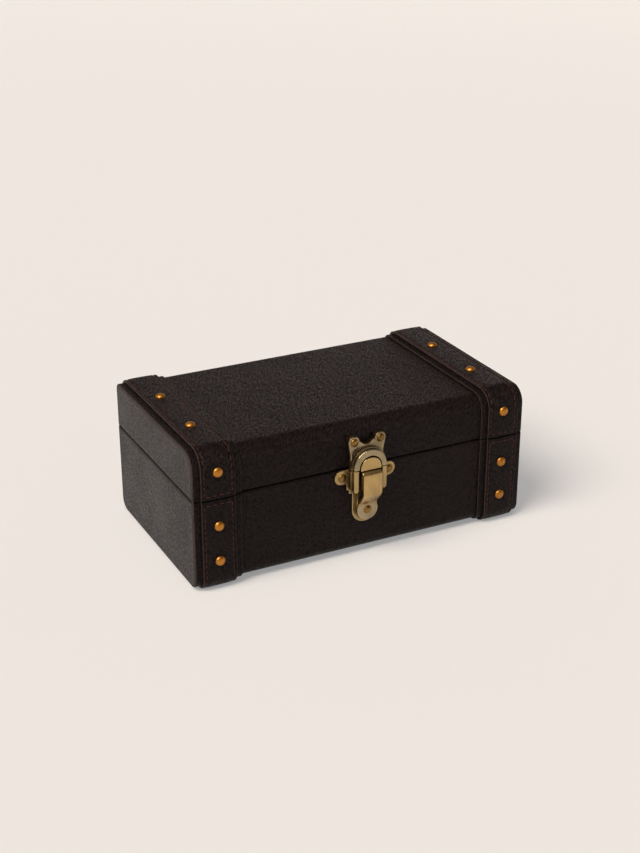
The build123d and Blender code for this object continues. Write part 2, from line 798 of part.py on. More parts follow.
# Latch tongue: a sheet strip folded over at the top, with side flanges, an S-bend down to
# its flex line, and a thick D-shaped head on a narrow neck with the hook behind it
half_strip = strip_thickness / 2
bend_out = flap_face - flap_bend_radius
bend_rise = flap_lip_rise - flap_bend_radius
head_back = head_face - head_thickness
strike_middle = strike_rise + strike_height / 2
flex_point = (flex_face - half_strip, -flex_drop)
crease_point = (crease_face - half_strip, half_strip - crease_drop)
flap_point = (flap_face - half_strip, -flap_low)
lip_point = (flap_lip_face, flap_lip_rise - half_strip)
s_middle = ((crease_point[0] + flap_point[0]) / 2, (crease_point[1] + flap_point[1]) / 2)
with BuildPart() as latch_tongue:
    with BuildSketch(latch_side(flap_half_width)):
        with BuildLine():
            lower_bend = TangentArc(crease_point, s_middle, tangent=(0, 1))
            TangentArc(s_middle, flap_point, tangent=lower_bend % 1)
            Line(flap_point, (flap_point[0], bend_rise))
            CenterArc((bend_out, bend_rise), flap_bend_radius - half_strip, 0, 90)
            Line((bend_out, lip_point[1]), lip_point)
        trace(line_width=strip_thickness)
    extrude(amount=2 * flap_half_width)
    for x in (flap_half_width, strip_thickness - flap_half_width):
        with BuildSketch(latch_side(x)) as flange:
            with BuildLine():
                Polyline(
                    (bend_out, flap_lip_rise),
                    (flap_face - flange_depth, flap_lip_rise),
                    (flap_face - flange_depth, -flange_low),
                    (flap_face, -flange_low),
                    (flap_face, bend_rise),
                )
                CenterArc((bend_out, bend_rise), flap_bend_radius, 0, 90)
            make_face()
            fillet(flange.vertices().group_by(Axis.Y)[0].sort_by(Axis.X)[0], flange_corner_radius)
        extrude(amount=strip_thickness)
    outer_faces = latch_tongue.faces().filter_by(lambda face: face.normal_at().Y < -flap_front_share)
    flap_sides = outer_faces.edges().filter_by(
        lambda edge: abs(abs(edge.center().X) - flap_half_width) < latch_touch
    )
    chamfer(flap_sides, flap_edge)
    with BuildSketch(latch_side(crease_half_width)):
        with BuildLine():
            Line(flex_point, crease_point)
        trace(line_width=strip_thickness)
        with Locations(flex_point, crease_point):
            Circle(half_strip)
    extrude(amount=2 * crease_half_width)
    with BuildSketch(latch_plane(head_back)):
        upright(neck_half_width, lip_point[1], head_middle_rise)
    extrude(amount=neck_face - head_back)
    with BuildSketch(latch_plane(head_back)):
        upright(hook_width / 2, strike_middle - hook_height / 2, strike_middle + hook_height / 2)
    extrude(amount=hasp_face + hook_clearance - head_back)
    with BuildSketch(latch_plane(head_back)):
        with Locations((0, head_middle_rise)):
            Circle(head_radius)
        with Locations((0, head_cut_rise - head_radius)):
            Rectangle(2 * head_radius, 2 * head_radius, mode=Mode.SUBTRACT)
    extrude(amount=head_thickness)
    head_front = latch_tongue.faces().filter_by(Axis.Y).filter_by(
        lambda face: abs(front - face.center().Y - head_face) < latch_touch
    )
    chamfer(head_front.edges(), head_edge)
keep(latch_tongue.part, "latch_tongue")

# Latch foot: the round end of the same strip below the flex line, riveted to the seat
with BuildPart() as latch_foot:
    with BuildSketch(latch_plane(seat_face)):
        with Locations((0, -foot_drop)):
            Circle(foot_radius)
        with Locations((0, foot_radius - flex_drop - half_strip - flex_gap)):
            Rectangle(2 * foot_radius, 2 * foot_radius, mode=Mode.SUBTRACT)
    extrude(amount=foot_face - seat_face)
    chamfer(latch_foot.faces().sort_by(Axis.Y)[0].edges().filter_by(GeomType.CIRCLE), foot_edge)
    add(base_rivet_holes, mode=Mode.SUBTRACT)
keep(latch_foot.part, "latch_foot")
keep(rivets(foot_spot, foot_face, foot_rivet_height), "latch_foot_rivet")
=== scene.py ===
"""The finished look of the leather watch box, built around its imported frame.

Lengths in this file are in millimetres and become metres where a mesh is made. Sizes inside
the materials, the lamps and the camera are in metres.
"""
import math

import bmesh
import bpy
import numpy as np
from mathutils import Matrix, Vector


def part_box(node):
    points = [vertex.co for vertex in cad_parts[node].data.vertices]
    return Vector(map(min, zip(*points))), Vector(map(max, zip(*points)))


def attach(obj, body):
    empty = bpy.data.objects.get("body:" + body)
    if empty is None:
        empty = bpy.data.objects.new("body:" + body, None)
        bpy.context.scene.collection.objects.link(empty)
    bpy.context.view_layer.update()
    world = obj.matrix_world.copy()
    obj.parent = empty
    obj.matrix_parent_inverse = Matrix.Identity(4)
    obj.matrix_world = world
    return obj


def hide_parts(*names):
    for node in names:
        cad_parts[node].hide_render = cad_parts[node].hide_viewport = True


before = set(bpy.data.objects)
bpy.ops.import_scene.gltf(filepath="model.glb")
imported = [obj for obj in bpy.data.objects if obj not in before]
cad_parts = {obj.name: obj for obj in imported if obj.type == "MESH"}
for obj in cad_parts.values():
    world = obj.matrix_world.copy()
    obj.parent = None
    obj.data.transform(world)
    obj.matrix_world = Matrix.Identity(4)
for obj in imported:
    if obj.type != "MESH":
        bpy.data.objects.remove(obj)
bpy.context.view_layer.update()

METRE = 0.001


def node_box(name):
    """A CAD node's lowest and highest corners in millimetres."""
    low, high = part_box(name)
    return np.array(low) / METRE, np.array(high) / METRE


# Places and sizes, read from the frame
cover_low, cover_high = node_box("base_leather_cover")
lid_low, lid_high = node_box("lid_leather_cover")
front, back = cover_low[1], cover_high[1]
base_bottom, base_rim = cover_low[2], cover_high[2]
lid_rim, lid_top = lid_low[2], lid_high[2]
seam = (base_rim + lid_rim) / 2
cover_half = cover_high[0]
half_length = node_box("base_right_end_leather")[1][0]
over_low, over_high = node_box("lid_right_over_strap")
strap_middle = (over_low[0] + over_high[0]) / 2
over_half = (over_high[0] - over_low[0]) / 2
strap_out = over_high[2] - lid_top
under_low, under_high = node_box("lid_right_under_strap")
under_middle = (under_low[0] + under_high[0]) / 2
under_half = (under_high[0] - under_low[0]) / 2
under_out = under_high[2] - lid_top
centre_y = (front + back) / 2

# Sizes of the leather that the frame doesn't give
bottom_radius = 8.0
top_front_radius = 12.0
top_back_radius = 5.0
cover_thickness = 1.2
turned_in = 7.0
rim_radius = 2.1
rim_overlap = 0.2
under_edge_radius = 0.55
over_edge_radius = 0.8
strap_crown = 0.25
strap_groove = 0.4

# Nails and stitches
nail_radius = 4.1
nail_height = 2.4
lid_nail_above_seam = 22.4
top_nail_from_middle = 31.0
base_nails_from_bottom = (51.0, 21.4)
stitch_from_middle = 11.2
stitch_pitch = 4.8
stitch_length = 3.4
stitch_lift = 0.16
stitch_groove_width = 0.75
thread_radius = 0.26
cross_row = 3.5

# Hinges
hinge_middle = 78.0
hinge_slot_half = 20.1
hinge_slot_depth = 1.32
hinge_screw_from_middle = 12.0


# Mesh helpers
def unit(vectors):
    """Vectors divided by their own lengths."""
    return vectors / np.linalg.norm(vectors, axis=-1, keepdims=True)


def quarter_turn(count):
    """Angles from 0 to 90 degrees, in radians."""
    return np.radians(np.linspace(0.0, 90.0, count))


def circle(count, first, second):
    """Places round a circle of radius 1 between two directions: cos(a) * first + sin(a) * second."""
    angle = np.linspace(0, 2 * np.pi, count, endpoint=False)[:, None]
    return np.cos(angle) * first + np.sin(angle) * second


def add_object(name, data):
    """A new object in the scene, at the origin."""
    piece = bpy.data.objects.new(name, data)
    bpy.context.scene.collection.objects.link(piece)
    return piece


def shade_smooth(mesh, sharp_from):
    """Shade faces smooth, except across edges sharper than an angle in degrees."""
    mesh.polygons.foreach_set("use_smooth", np.ones(len(mesh.polygons), bool))
    mesh.set_sharp_from_angle(angle=math.radians(sharp_from))


def make_mesh(name, points, faces, closed=True):
    """A mesh object at the origin, its points given in millimetres.

    A closed shell is turned to face outwards and stays sharp at edges over 50 degrees.
    """
    mesh = bpy.data.meshes.new(name)
    mesh.from_pydata((np.asarray(points, float).reshape(-1, 3) * METRE).tolist(), [], faces)
    mesh.validate()
    if closed:
        work = bmesh.new()
        work.from_mesh(mesh)
        bmesh.ops.recalc_face_normals(work, faces=work.faces)
        work.to_mesh(mesh)
        work.free()
    shade_smooth(mesh, 50.0 if closed else 180.0)
    return add_object(name, mesh)


def grid_faces(rows, columns, looped=False):
    """Quads between a grid's rings, one ring to a row; the last row joins the first when looped."""
    row, column = np.indices((rows if looped else rows - 1, columns))
    after = (column + 1) % columns
    below = (row + 1) % rows
    corners = (row * columns + column, row * columns + after,
               below * columns + after, below * columns + column)
    return np.stack(corners, -1).reshape(-1, 4).tolist()


def tube(name, rings):
    """A closed solid from an array of rings (rows, points round, 3), its two ends capped."""
    rows, columns = rings.shape[:2]
    faces = grid_faces(rows, columns)
    faces.append(list(range(columns))[::-1])
    faces.append(list(range((rows - 1) * columns, rows * columns)))
    return make_mesh(name, rings, faces)


def attribute(piece, name, values):
    """One number for each point of a piece, for its material to read."""
    data = piece.data.attributes.new(name, "FLOAT", "POINT")
    data.data.foreach_set("value", np.asarray(values, np.float32).ravel())


def lay_flat(piece, first, second):
    """Each point's place on the leather as it lay flat before it was glued on, for the grain to follow."""
    first, second = np.broadcast_arrays(np.asarray(first, float), second)
    flat = np.stack((first, second, np.zeros_like(first)), -1) * METRE
    data = piece.data.attributes.new("flat", "FLOAT_VECTOR", "POINT")
    data.data.foreach_set("vector", flat.astype(np.float32).ravel())


def dress(piece, body, material, slot, *nodes):
    """Give a piece its material and its body, and hide the nodes that it stands for; the slot is not used.
    """
    piece.data.materials.clear()
    piece.data.materials.append(material)
    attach(piece, body)
    if nodes:
        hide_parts(*nodes)
    return piece


def ripple(a, b, size, seed):
    """A smooth, uneven swell between about -1 and 1: three waves crossed at odd angles."""
    turn = seed * 1.7
    return (np.sin(a / size + turn) * np.sin(b / (0.8 * size) + 2.3 * turn)
            + 0.6 * np.sin((a + 0.7 * b) / (0.55 * size) + 3.1 * turn)
            + 0.4 * np.sin((0.6 * a - b) / (0.37 * size) + 0.7 * turn)) / 2


class Wrap:
    """The side outline of the lid or the base: places along it from the front rim to the back.

    A place at length s lies on the straight runs or the corner arcs; out moves it along the
    outward normal, which turns evenly round each arc.
    """

    def __init__(self, start, end, corners, steps=24):
        points, normals = [start], [(-1.0, 0.0)]
        for centre, radius, first, last in corners:
            angles = np.radians(np.linspace(first, last, steps))
            turned = np.stack((np.cos(angles), np.sin(angles)), 1)
            points += (np.array(centre) + radius * turned).tolist()
            normals += turned.tolist()
        points.append(end)
        normals.append((1.0, 0.0))
        self.points, self.normals = np.array(points), np.array(normals)
        self.s = np.concatenate(([0.0], np.cumsum(np.linalg.norm(np.diff(self.points, axis=0), axis=1))))
        self.length = self.s[-1]

    def normal(self, s):
        """Outward direction at s, as y and z."""
        return [np.interp(s, self.s, self.normals[:, axis]) for axis in (0, 1)]

    def place(self, s, x, out):
        """Points at length s along the outline, at x across it and out from it."""
        s, x, out = np.broadcast_arrays(np.asarray(s, float), x, out)
        turned = self.normal(s)
        y, z = [np.interp(s, self.s, self.points[:, axis]) + turned[axis] * out for axis in (0, 1)]
        return np.stack((x, y, z), -1)

    def at_top(self, y):
        """The length at which the outline's level run passes y."""
        level = np.abs(self.normals[:, 1]) > 0.999
        return np.interp(y, self.points[level, 0], self.s[level])

    def steps(self, size, arc_size=1.2):
        """Lengths along the outline: about size apart on the runs, closer on the arcs."""
        lengths = [0.0]
        for low, high, a, b in zip(self.s[:-1], self.s[1:], self.normals[:-1], self.normals[1:]):
            near = arc_size if np.abs(a - b).sum() > 1e-6 else size
            count = max(1, int(round((high - low) / near)))
            lengths += np.linspace(low, high, count + 1)[1:].tolist()
        return np.array(lengths)


wraps = {
    "base": Wrap((front, base_rim), (back, base_rim), (
        ((front + bottom_radius, base_bottom + bottom_radius), bottom_radius, 180, 270),
        ((back - bottom_radius, base_bottom + bottom_radius), bottom_radius, 270, 360))),
    "lid": Wrap((front, lid_rim), (back, lid_rim), (
        ((front + top_front_radius, lid_top - top_front_radius), top_front_radius, 180, 90),
        ((back - top_back_radius, lid_top - top_back_radius), top_back_radius, 90, 0))),
}
sides = {"left": -1, "right": 1}

# Each part's rim, and the way from the seam into the part
rims = {"base": (base_rim, -1), "lid": (lid_rim, 1)}


def nail_places():
    """Where each part's nails stand along its outline, from front to back."""
    lid_wrap, base_wrap = wraps["lid"], wraps["base"]
    lid_front = lid_nail_above_seam - (lid_rim - seam)
    level = [lid_wrap.at_top(centre_y + side * top_nail_from_middle) for side in (-1, 1)]
    base_front = [base_rim - base_bottom - height for height in base_nails_from_bottom]
    return {
        "lid": [lid_front, *level, lid_wrap.length - lid_front],
        "base": base_front + [base_wrap.length - place for place in base_front[::-1]],
    }


nail_spots = nail_places()


# Materials
class Value:
    """A socket that takes part in sums: each operator adds a Math node."""

    def __init__(self, paint, socket):
        self.paint, self.socket = paint, socket

    def _math(self, operation, *values):
        node = self.paint.node("ShaderNodeMath", {"operation": operation}, *values)
        return Value(self.paint, node.outputs[0])

    def __add__(self, other):
        return self._math("ADD", self, other)

    def __radd__(self, other):
        return self._math("ADD", other, self)

    def __sub__(self, other):
        return self._math("SUBTRACT", self, other)

    def __rsub__(self, other):
        return self._math("SUBTRACT", other, self)

    def __mul__(self, other):
        return self._math("MULTIPLY", self, other)

    def __rmul__(self, other):
        return self._math("MULTIPLY", other, self)

    def clamp(self, low=0.0, high=1.0):
        """Kept between two numbers."""
        return self._math("MINIMUM", self._math("MAXIMUM", self, low), high)

    def step(self, low, high):
        """0 below low, 1 above high and smooth between them."""
        smooth = {"interpolation_type": "SMOOTHSTEP"}
        node = self.paint.node("ShaderNodeMapRange", smooth, self, low, high, 0.0, 1.0)
        return Value(self.paint, node.outputs[0])


class Paint:
    """One procedural material around a Principled shader, with short ways to add nodes."""

    def __init__(self, name):
        self.material = bpy.data.materials.new(name)
        self.material.use_nodes = True
        self.tree = self.material.node_tree
        self.shader = self.tree.nodes["Principled BSDF"]
        coordinates = self.node("ShaderNodeTexCoord", {}).outputs
        self.place, self.facing = coordinates["Object"], coordinates["Normal"]

    def node(self, kind, settings, *values, **named):
        """A node of a kind, its settings made first, then its sockets in order or by name."""
        node = self.tree.nodes.new(kind)
        for key, value in settings.items():
            setattr(node, key, value)
        pairs = [(node.inputs[number], value) for number, value in enumerate(values)]
        pairs += [(node.inputs[key.replace("_", " ")], value) for key, value in named.items()]
        for socket, value in pairs:
            self.feed(socket, value)
        return node

    def feed(self, socket, value):
        """Link or set one socket."""
        if isinstance(value, Value):
            value = value.socket
        if isinstance(value, bpy.types.NodeSocket):
            self.tree.links.new(value, socket)
        elif isinstance(value, tuple) and len(value) == 3 and socket.type == "RGBA":
            socket.default_value = (*value, 1.0)
        else:
            socket.default_value = value

    def stretched(self, scale):
        """Object coordinates scaled by their own number along each axis."""
        return self.node("ShaderNodeMapping", {}, self.place, Scale=scale).outputs[0]

    def aligned(self, place, along, size):
        """Coordinates whose first axis runs along a direction, counted in sizes in metres."""
        turn = Vector((1.0, 0.0, 0.0)).rotation_difference(Vector(along)).to_euler()
        mapping = self.node("ShaderNodeMapping", {"vector_type": "TEXTURE"}, place, Rotation=tuple(turn),
                            Scale=size)
        return mapping.outputs[0]

    def noise(self, scale, detail=2.0, roughness=0.5, place=None, distortion=0.0, across="3D"):
        """Cloudy noise from 0 to 1, its scale in waves per metre."""
        node = self.node("ShaderNodeTexNoise", {"noise_dimensions": across}, Vector=place or self.place,
                         Scale=scale, Detail=detail, Roughness=roughness, Distortion=distortion)
        return Value(self, node.outputs["Fac"])

    def cells(self, place, feature):
        """A flat cell pattern: distance to the nearest centre, F1, or DISTANCE_TO_EDGE."""
        flat = {"voronoi_dimensions": "2D", "feature": feature}
        node = self.node("ShaderNodeTexVoronoi", flat, Vector=place, Scale=1.0, Randomness=1.0)
        return Value(self, node.outputs["Distance"])

    def number(self, name):
        """A piece's own number for each point."""
        return Value(self, self.node("ShaderNodeAttribute", {"attribute_name": name}).outputs["Fac"])

    def blend(self, factor, first, second):
        """Two colours mixed by a factor, through the colour sockets of a Mix node."""
        node = self.node("ShaderNodeMix", {"data_type": "RGBA"})
        factor_socket, first_color, second_color, mixed = 0, 6, 7, 2
        self.feed(node.inputs[factor_socket], factor)
        self.feed(node.inputs[first_color], first)
        self.feed(node.inputs[second_color], second)
        return node.outputs[mixed]

    def bump(self, height, depth):
        """A bump in which a height of 1 stands for a depth in millimetres."""
        node = self.node("ShaderNodeBump", {}, Strength=1.0, Distance=depth * METRE, Height=height)
        return node.outputs["Normal"]

    def finish(self, color, roughness, normal, **constants):
        """Feed the shader: what varies by links, what doesn't on its own sockets."""
        self.feed(self.shader.inputs["Base Color"], color)
        self.feed(self.shader.inputs["Roughness"], roughness)
        self.feed(self.shader.inputs["Normal"], normal)
        for key, value in constants.items():
            self.shader.inputs[key.replace("_", " ")].default_value = value
        return self.material


def srgb(red, green, blue):
    """A colour written as it looks, from 0 to 255, as a linear colour."""
    shares = np.array((red, green, blue)) / 255.0
    linear = np.where(shares <= 0.04045, shares / 12.92, ((shares + 0.055) / 1.055) ** 2.4)
    return tuple(float(share) for share in linear)


grain_way = (0.616, 0.788, 0.0)


def make_leather(name, dark, light, mottle, shine, relief, streaks, edge_and_highlight_color=None):
    """Grained leather, drawn on the hide as it lay flat.

    Rounded grains of about 2.7 by 1.3 mm lie along one direction that wanders a little, with
    wrinkles of about 4 by 1.1 mm over them. The height is 0.75 of the grains plus 0.85 of the
    wrinkles and a few fine pores, times relief in millimetres. The tone and the gloss follow
    grains and wrinkles, more with streaks, and cloudy patches, more with mottle.
    """
    paint = Paint(name)
    hide = paint.node("ShaderNodeAttribute", {"attribute_name": "flat"}).outputs["Vector"]
    level = {"noise_dimensions": "2D"}
    drift = paint.node("ShaderNodeTexNoise", level, Vector=hide, Scale=60.0, Detail=1.0).outputs["Color"]
    sway = (0.0024, 0.0024, 0.0)
    bent = paint.node("ShaderNodeVectorMath", {"operation": "MULTIPLY_ADD"}, drift, sway, hide).outputs[0]
    pebble = paint.aligned(bent, grain_way, (0.0027, 0.0013, 1.0))
    crease = paint.aligned(bent, grain_way, (0.0042, 0.00112, 1.0))
    reach = paint.cells(pebble, "F1")
    domes = (1.0 - reach * reach * 1.5).clamp()
    raised = paint.cells(pebble, "DISTANCE_TO_EDGE").step(0.0, 0.17)
    grains = domes * 0.5 + raised * 0.5
    wrinkles = paint.noise(1.0, 1.0, 0.5, crease, across="2D")
    pores = paint.noise(1800.0, 1.0)
    clouds = paint.noise(38.0, 4.0, 0.6)
    height = grains * 0.75 + wrinkles * 0.85 + pores * 0.05
    normal = paint.bump(height, relief)
    tone = (grains * 0.7 + (wrinkles - 0.5) * 3.0 * streaks + (clouds - 0.5) * mottle - 0.05).clamp()
    color = paint.blend(tone, dark, light)
    gloss = (grains * 0.24 - 0.12 + (wrinkles - 0.5) * 0.7) * streaks + (clouds - 0.5) * mottle * 0.25
    roughness = (0.45 - gloss).clamp(0.22, 0.9)
    # Rounded edges blend in a lighter colour by the piece's edge number: the raw edge's own colour plus a
    # painted highlight
    if edge_and_highlight_color:
        edge = paint.number("edge")
        color = paint.blend(edge, color, edge_and_highlight_color)
    return paint.finish(color, roughness, normal, Specular_IOR_Level=shine)


def make_suede(name, dark, light):
    """Short-napped suede: fine fibres, soft brushed patches and a dusty sheen."""
    paint = Paint(name)
    fibres = paint.noise(1.0, 3.0, 0.7, paint.stretched((2600.0, 2600.0, 1500.0)))
    patches = paint.noise(55.0, 3.0, 0.55, distortion=0.8)
    tone = (fibres * 0.45 + patches * 0.9 - 0.2).clamp()
    normal = paint.bump(fibres * 0.7 + patches * 0.5, 0.22)
    return paint.finish(paint.blend(tone, dark, light), 0.9 - patches * 0.08, normal,
                        Specular_IOR_Level=0.15, Sheen_Weight=0.35, Sheen_Roughness=0.5)


def make_brass(name, light, dark, roughness=0.22, walls=0.0):
    """Antique brass: brushed up and down, darker in its hollows, partly real patina and partly
    painted shade where light is shut out, and, by a share called walls, darker with painted shade
    on the side faces that look neither forwards nor backwards."""
    paint = Paint(name)
    scratches = paint.noise(1.0, 3.0, 0.6, paint.stretched((1400.0, 1400.0, 50.0)))
    clouds = paint.noise(60.0, 1.0)
    # Painted shade, partly real patina: ambient occlusion darkens hollows, creases and the rings round
    # rivets and nails
    hollow = paint.node("ShaderNodeAmbientOcclusion", {"samples": 16}, Distance=0.006)
    open_share = Value(paint, hollow.outputs["AO"]).step(0.3, 0.95)
    facing = paint.node("ShaderNodeSeparateXYZ", {}, paint.facing).outputs
    # Painted shade on side walls: faces turned away from the front and back are darkened by the walls share
    wall = 1.0 - (Value(paint, facing[1]) * Value(paint, facing[1])).step(0.05, 0.4)
    tarnish_and_shade = ((1.0 - open_share) * 0.8 + wall * walls
               + (clouds - 0.42) * 1.2 + (scratches - 0.5) * 0.5).clamp()
    normal = paint.bump(scratches, 0.02)
    color = paint.blend(tarnish_and_shade, light, dark)
    return paint.finish(color, roughness + scratches * 0.12 + tarnish_and_shade * 0.12, normal, Metallic=0.88)


def make_thread(name, dark, light):
    """Waxed thread: a fine twist along each stitch."""
    paint = Paint(name)
    twist = paint.noise(2500.0, 2.0)
    color = paint.blend(twist, dark, light)
    return paint.finish(color, 0.55, paint.bump(twist, 0.08), Specular_IOR_Level=0.3)


def make_board(name):
    """Pressed board, for the carcass that the leather and the lining hide."""
    paint = Paint(name)
    flecks = paint.noise(700.0, 4.0, 0.7)
    color = paint.blend(flecks, srgb(120, 86, 58), srgb(172, 134, 96))
    return paint.finish(color, 0.8, paint.bump(flecks, 0.1))


def make_steel(name):
    """Plated steel for the screws."""
    paint = Paint(name)
    haze = paint.noise(900.0, 2.0)
    color = paint.blend(haze, srgb(150, 138, 112), srgb(188, 176, 148))
    return paint.finish(color, 0.3 + haze * 0.1, paint.bump(haze, 0.02), Metallic=1.0)


leather_dark = srgb(7, 4, 4)
leather_light = srgb(33, 24, 24)
# A lighter colour for rounded edges: raw-edge colour plus a painted highlight line
raw_edge_and_highlight = srgb(66, 54, 50)
body_leather = make_leather("body_leather", leather_dark, leather_light, 0.5, 0.1, 0.36, 1.15)
end_leather = make_leather("end_leather", leather_dark, leather_light, 1.0, 0.2, 0.14, 0.6, raw_edge_and_highlight)
strap_leather = make_leather("strap_leather", leather_dark, leather_light, 0.5, 0.1, 0.36, 1.15, raw_edge_and_highlight)
lining_suede = make_suede("lining_suede", srgb(96, 72, 54), srgb(148, 118, 92))
cushion_suede = make_suede("cushion_suede", srgb(110, 84, 64), srgb(166, 136, 108))
# The last number of each latch brass is its share of painted shade on side walls; hollows get painted shade
# and patina in all of them
plate_brass = make_brass("latch_plate_brass", srgb(174, 149, 102), srgb(64, 46, 20), 0.17, 0.62)
hasp_brass = make_brass("latch_hasp_brass", srgb(164, 148, 116), srgb(62, 46, 22), 0.17, 0.62)
tongue_brass = make_brass("latch_tongue_brass", srgb(190, 160, 106), srgb(70, 48, 18), 0.17, 0.25)
rivet_brass = make_brass("latch_rivet_brass", srgb(142, 110, 58), srgb(44, 30, 12), 0.2)
nail_brass = make_brass("nail_brass", srgb(184, 124, 50), srgb(92, 48, 10), 0.32)
hinge_brass = make_brass("hinge_brass", srgb(196, 170, 120), srgb(110, 80, 38))
screw_steel = make_steel("screw_steel")
board_wood = make_board("carcass_board")
thread = make_thread("strap_thread", srgb(62, 30, 21), srgb(96, 50, 34))


# Leather covers of the lid and the base
def rim_slots(points, away):
    """Let the hinge leaves into the back rim: points of the rim there move away from the seam."""
    bottom = seam + away * hinge_slot_depth
    from_middle = np.abs(np.abs(points[..., 0]) - hinge_middle)
    inside = (from_middle < hinge_slot_half) & (points[..., 1] > back - turned_in - rim_overlap)
    z = points[..., 2]
    low = np.minimum(z, bottom) if away < 0 else np.maximum(z, bottom)
    points[..., 2] = np.where(inside, low, z)


def lean(part, length):
    """How far the hide shifts along x at a length from the front rim.

    The lid's front leans the other way: 0.9 of the length, which stops growing at 26 mm.
    """
    return 0.9 * np.minimum(length, 26.0) if part == "lid" else np.zeros_like(length)


def leather_cover(part):
    """One sheet over the front, the top or bottom and the back, turned in over both rims.

    Its section runs from the inner end of the front rim outwards, round the rim's edge, along
    the outline, and back the same way one thickness further in; it is carried along x.
    """
    wrap = wraps[part]
    rim, away = rims[part]
    lengths = wrap.steps(2.5)
    lengths = lengths[(lengths > rim_radius) & (lengths < wrap.length - rim_radius)]
    outline = wrap.place(lengths, 0.0, 0.0)[:, 1:]
    turn = quarter_turn(6)
    inset = rim_radius * (1 - np.sin(turn))
    heights = rim + away * rim_radius * (1 - np.cos(turn))
    front_edge = np.stack((front + inset, heights), 1)
    back_edge = np.stack((back - inset, heights), 1)[::-1]
    front_end = front + turned_in + rim_overlap
    back_end = back - turned_in - rim_overlap
    under = rim + away * cover_thickness
    inner = wrap.place(np.linspace(3.0, wrap.length - 3.0, 40), 0.0, -cover_thickness)[::-1, 1:]
    section = np.concatenate((
        [(front_end, under), (front_end, rim)], front_edge, outline, back_edge,
        [(back_end, rim), (back_end, under)], inner))
    slot_edges = [side * hinge_middle + end * hinge_slot_half + nudge
                  for side in (-1, 1) for end in (-1, 1) for nudge in (-0.03, 0.03)]
    columns = np.unique(np.concatenate((np.linspace(-cover_half, cover_half, 116), slot_edges)))
    rings = np.empty((len(columns), len(section), 3))
    rings[..., 0] = columns[:, None]
    rings[..., 1:] = section[None]
    rim_slots(rings, away)
    piece = tube(f"{part}_leather_skin", rings)
    run = np.concatenate(([0.0], np.cumsum(np.linalg.norm(np.diff(section, axis=0), axis=1))))
    run -= turned_in
    lay_flat(piece, rings[..., 0] + lean(part, run)[None], np.broadcast_to(run, rings.shape[:2]))
    return piece


for part in rims:
    dress(leather_cover(part), part, body_leather, "body_leather", f"{part}_leather_cover")


# End panels
def end_panel(part, name):
    """The flat leather of one end: rings of its outline drawn in towards the middle.

    The outermost rings roll over from the panel's thickness to its face; inside them the
    surface swells and dips by a tenth of a millimetre or so.
    """
    wrap = wraps[part]
    away = rims[part][1]
    side = sides[name]
    lengths = wrap.steps(3.0)
    around = wrap.place(lengths, 0.0, 0.0)[:, 1:]
    inward = -np.stack(wrap.normal(lengths), 1)
    rim_run = np.linspace(around[-1], around[0], 50)[1:-1]
    around = np.concatenate((around, rim_run))
    inward = np.concatenate((inward, np.tile((0.0, float(away)), (len(rim_run), 1))))
    inward[[0, len(lengths) - 1]] += (0.0, away)
    middle = np.array((centre_y, (around[:, 1].min() + around[:, 1].max()) / 2))
    on_rim = np.concatenate((np.zeros(len(lengths)), np.ones(len(rim_run))))
    thickness = half_length - cover_half
    # Steps over the edge: how far in, how deep below the face, and how much raw-edge colour with a painted
    # highlight shows, most on the rounded edge
    roll_over = ((0.0, -thickness, 0.0), (0.0, -1.25, 0.0), (0.1, -0.78, 0.6), (0.36, -0.38, 1.0),
                 (0.78, -0.12, 0.5), (1.3, -0.01, 0.0), (1.9, 0.0, 0.0), (3.5, -0.05, 0.0))
    rings, edge = [], []
    for inset, depth, raw in roll_over:
        flat = around + inward * (inset * (1 + 0.9 * on_rim) + 0.35 * on_rim)[:, None]
        rings.append(np.column_stack((np.full(len(flat), side * (half_length + depth)), flat)))
        edge.append(raw * (1 - on_rim))
    start = rings[-1][:, 1:]
    for share in (0.06, 0.14, 0.24, 0.36, 0.5, 0.64, 0.78, 0.9, 0.97):
        flat = start + (middle - start) * share
        swell = 0.12 * ripple(flat[:, 0], flat[:, 1], 22.0, side + len(part)) * min(1.0, 8 * share)
        rings.append(np.column_stack((side * (half_length - 0.08 + swell), flat)))
        edge.append(np.zeros(len(flat)))
    rings = np.array(rings)
    piece = tube(f"{part}_{name}_end_panel", rings)
    # The edge numbers carry raw-edge colour and a painted highlight round the panel's rolled edge
    attribute(piece, "edge", np.array(edge))
    turn = math.radians(46.0 if part == "lid" else 0.0)
    y, z = rings[..., 1] * away, rings[..., 2]
    lay_flat(piece, y * math.cos(turn) - z * math.sin(turn), y * math.sin(turn) + z * math.cos(turn))
    return piece


def rim_strip(part, name):
    """The end leather's turned-in flap over the end board's rim: a rounded bar carried along y.

    It lies from 0.9 mm inside the end's face to 5.95 mm inside the cover's end, 0.06 mm short
    of the rim, and stops 0.05 mm clear of the cover's own flaps.
    """
    rim, away = rims[part]
    outer, inner = half_length - 0.9, cover_half - 5.95
    low, high = rim + away * cover_thickness * 0.98, rim + away * 0.06
    roll = 0.45
    turn = quarter_turn(4)
    outside = np.stack((outer - roll * (1 - np.cos(turn)), high + away * roll * (1 - np.sin(turn))), 1)
    inside = np.stack((inner + roll * (1 - np.sin(turn)), high + away * roll * (1 - np.cos(turn))), 1)
    section = np.concatenate(([(outer, low)], outside, inside, [(inner, low)]))
    along = np.linspace(front + turned_in + 0.25, back - turned_in - 0.25, 48)
    rings = np.empty((len(along), len(section), 3))
    rings[..., 0] = sides[name] * section[:, 0]
    rings[..., 1] = along[:, None]
    rings[..., 2] = section[:, 1]
    piece = tube(f"{part}_{name}_rim_strip", rings)
    lay_flat(piece, rings[..., 0], rings[..., 1])
    return piece


for part in rims:
    for name in sides:
        dress(end_panel(part, name), part, end_leather, "body_leather", f"{part}_{name}_end_leather")
        dress(rim_strip(part, name), part, body_leather, "body_leather")


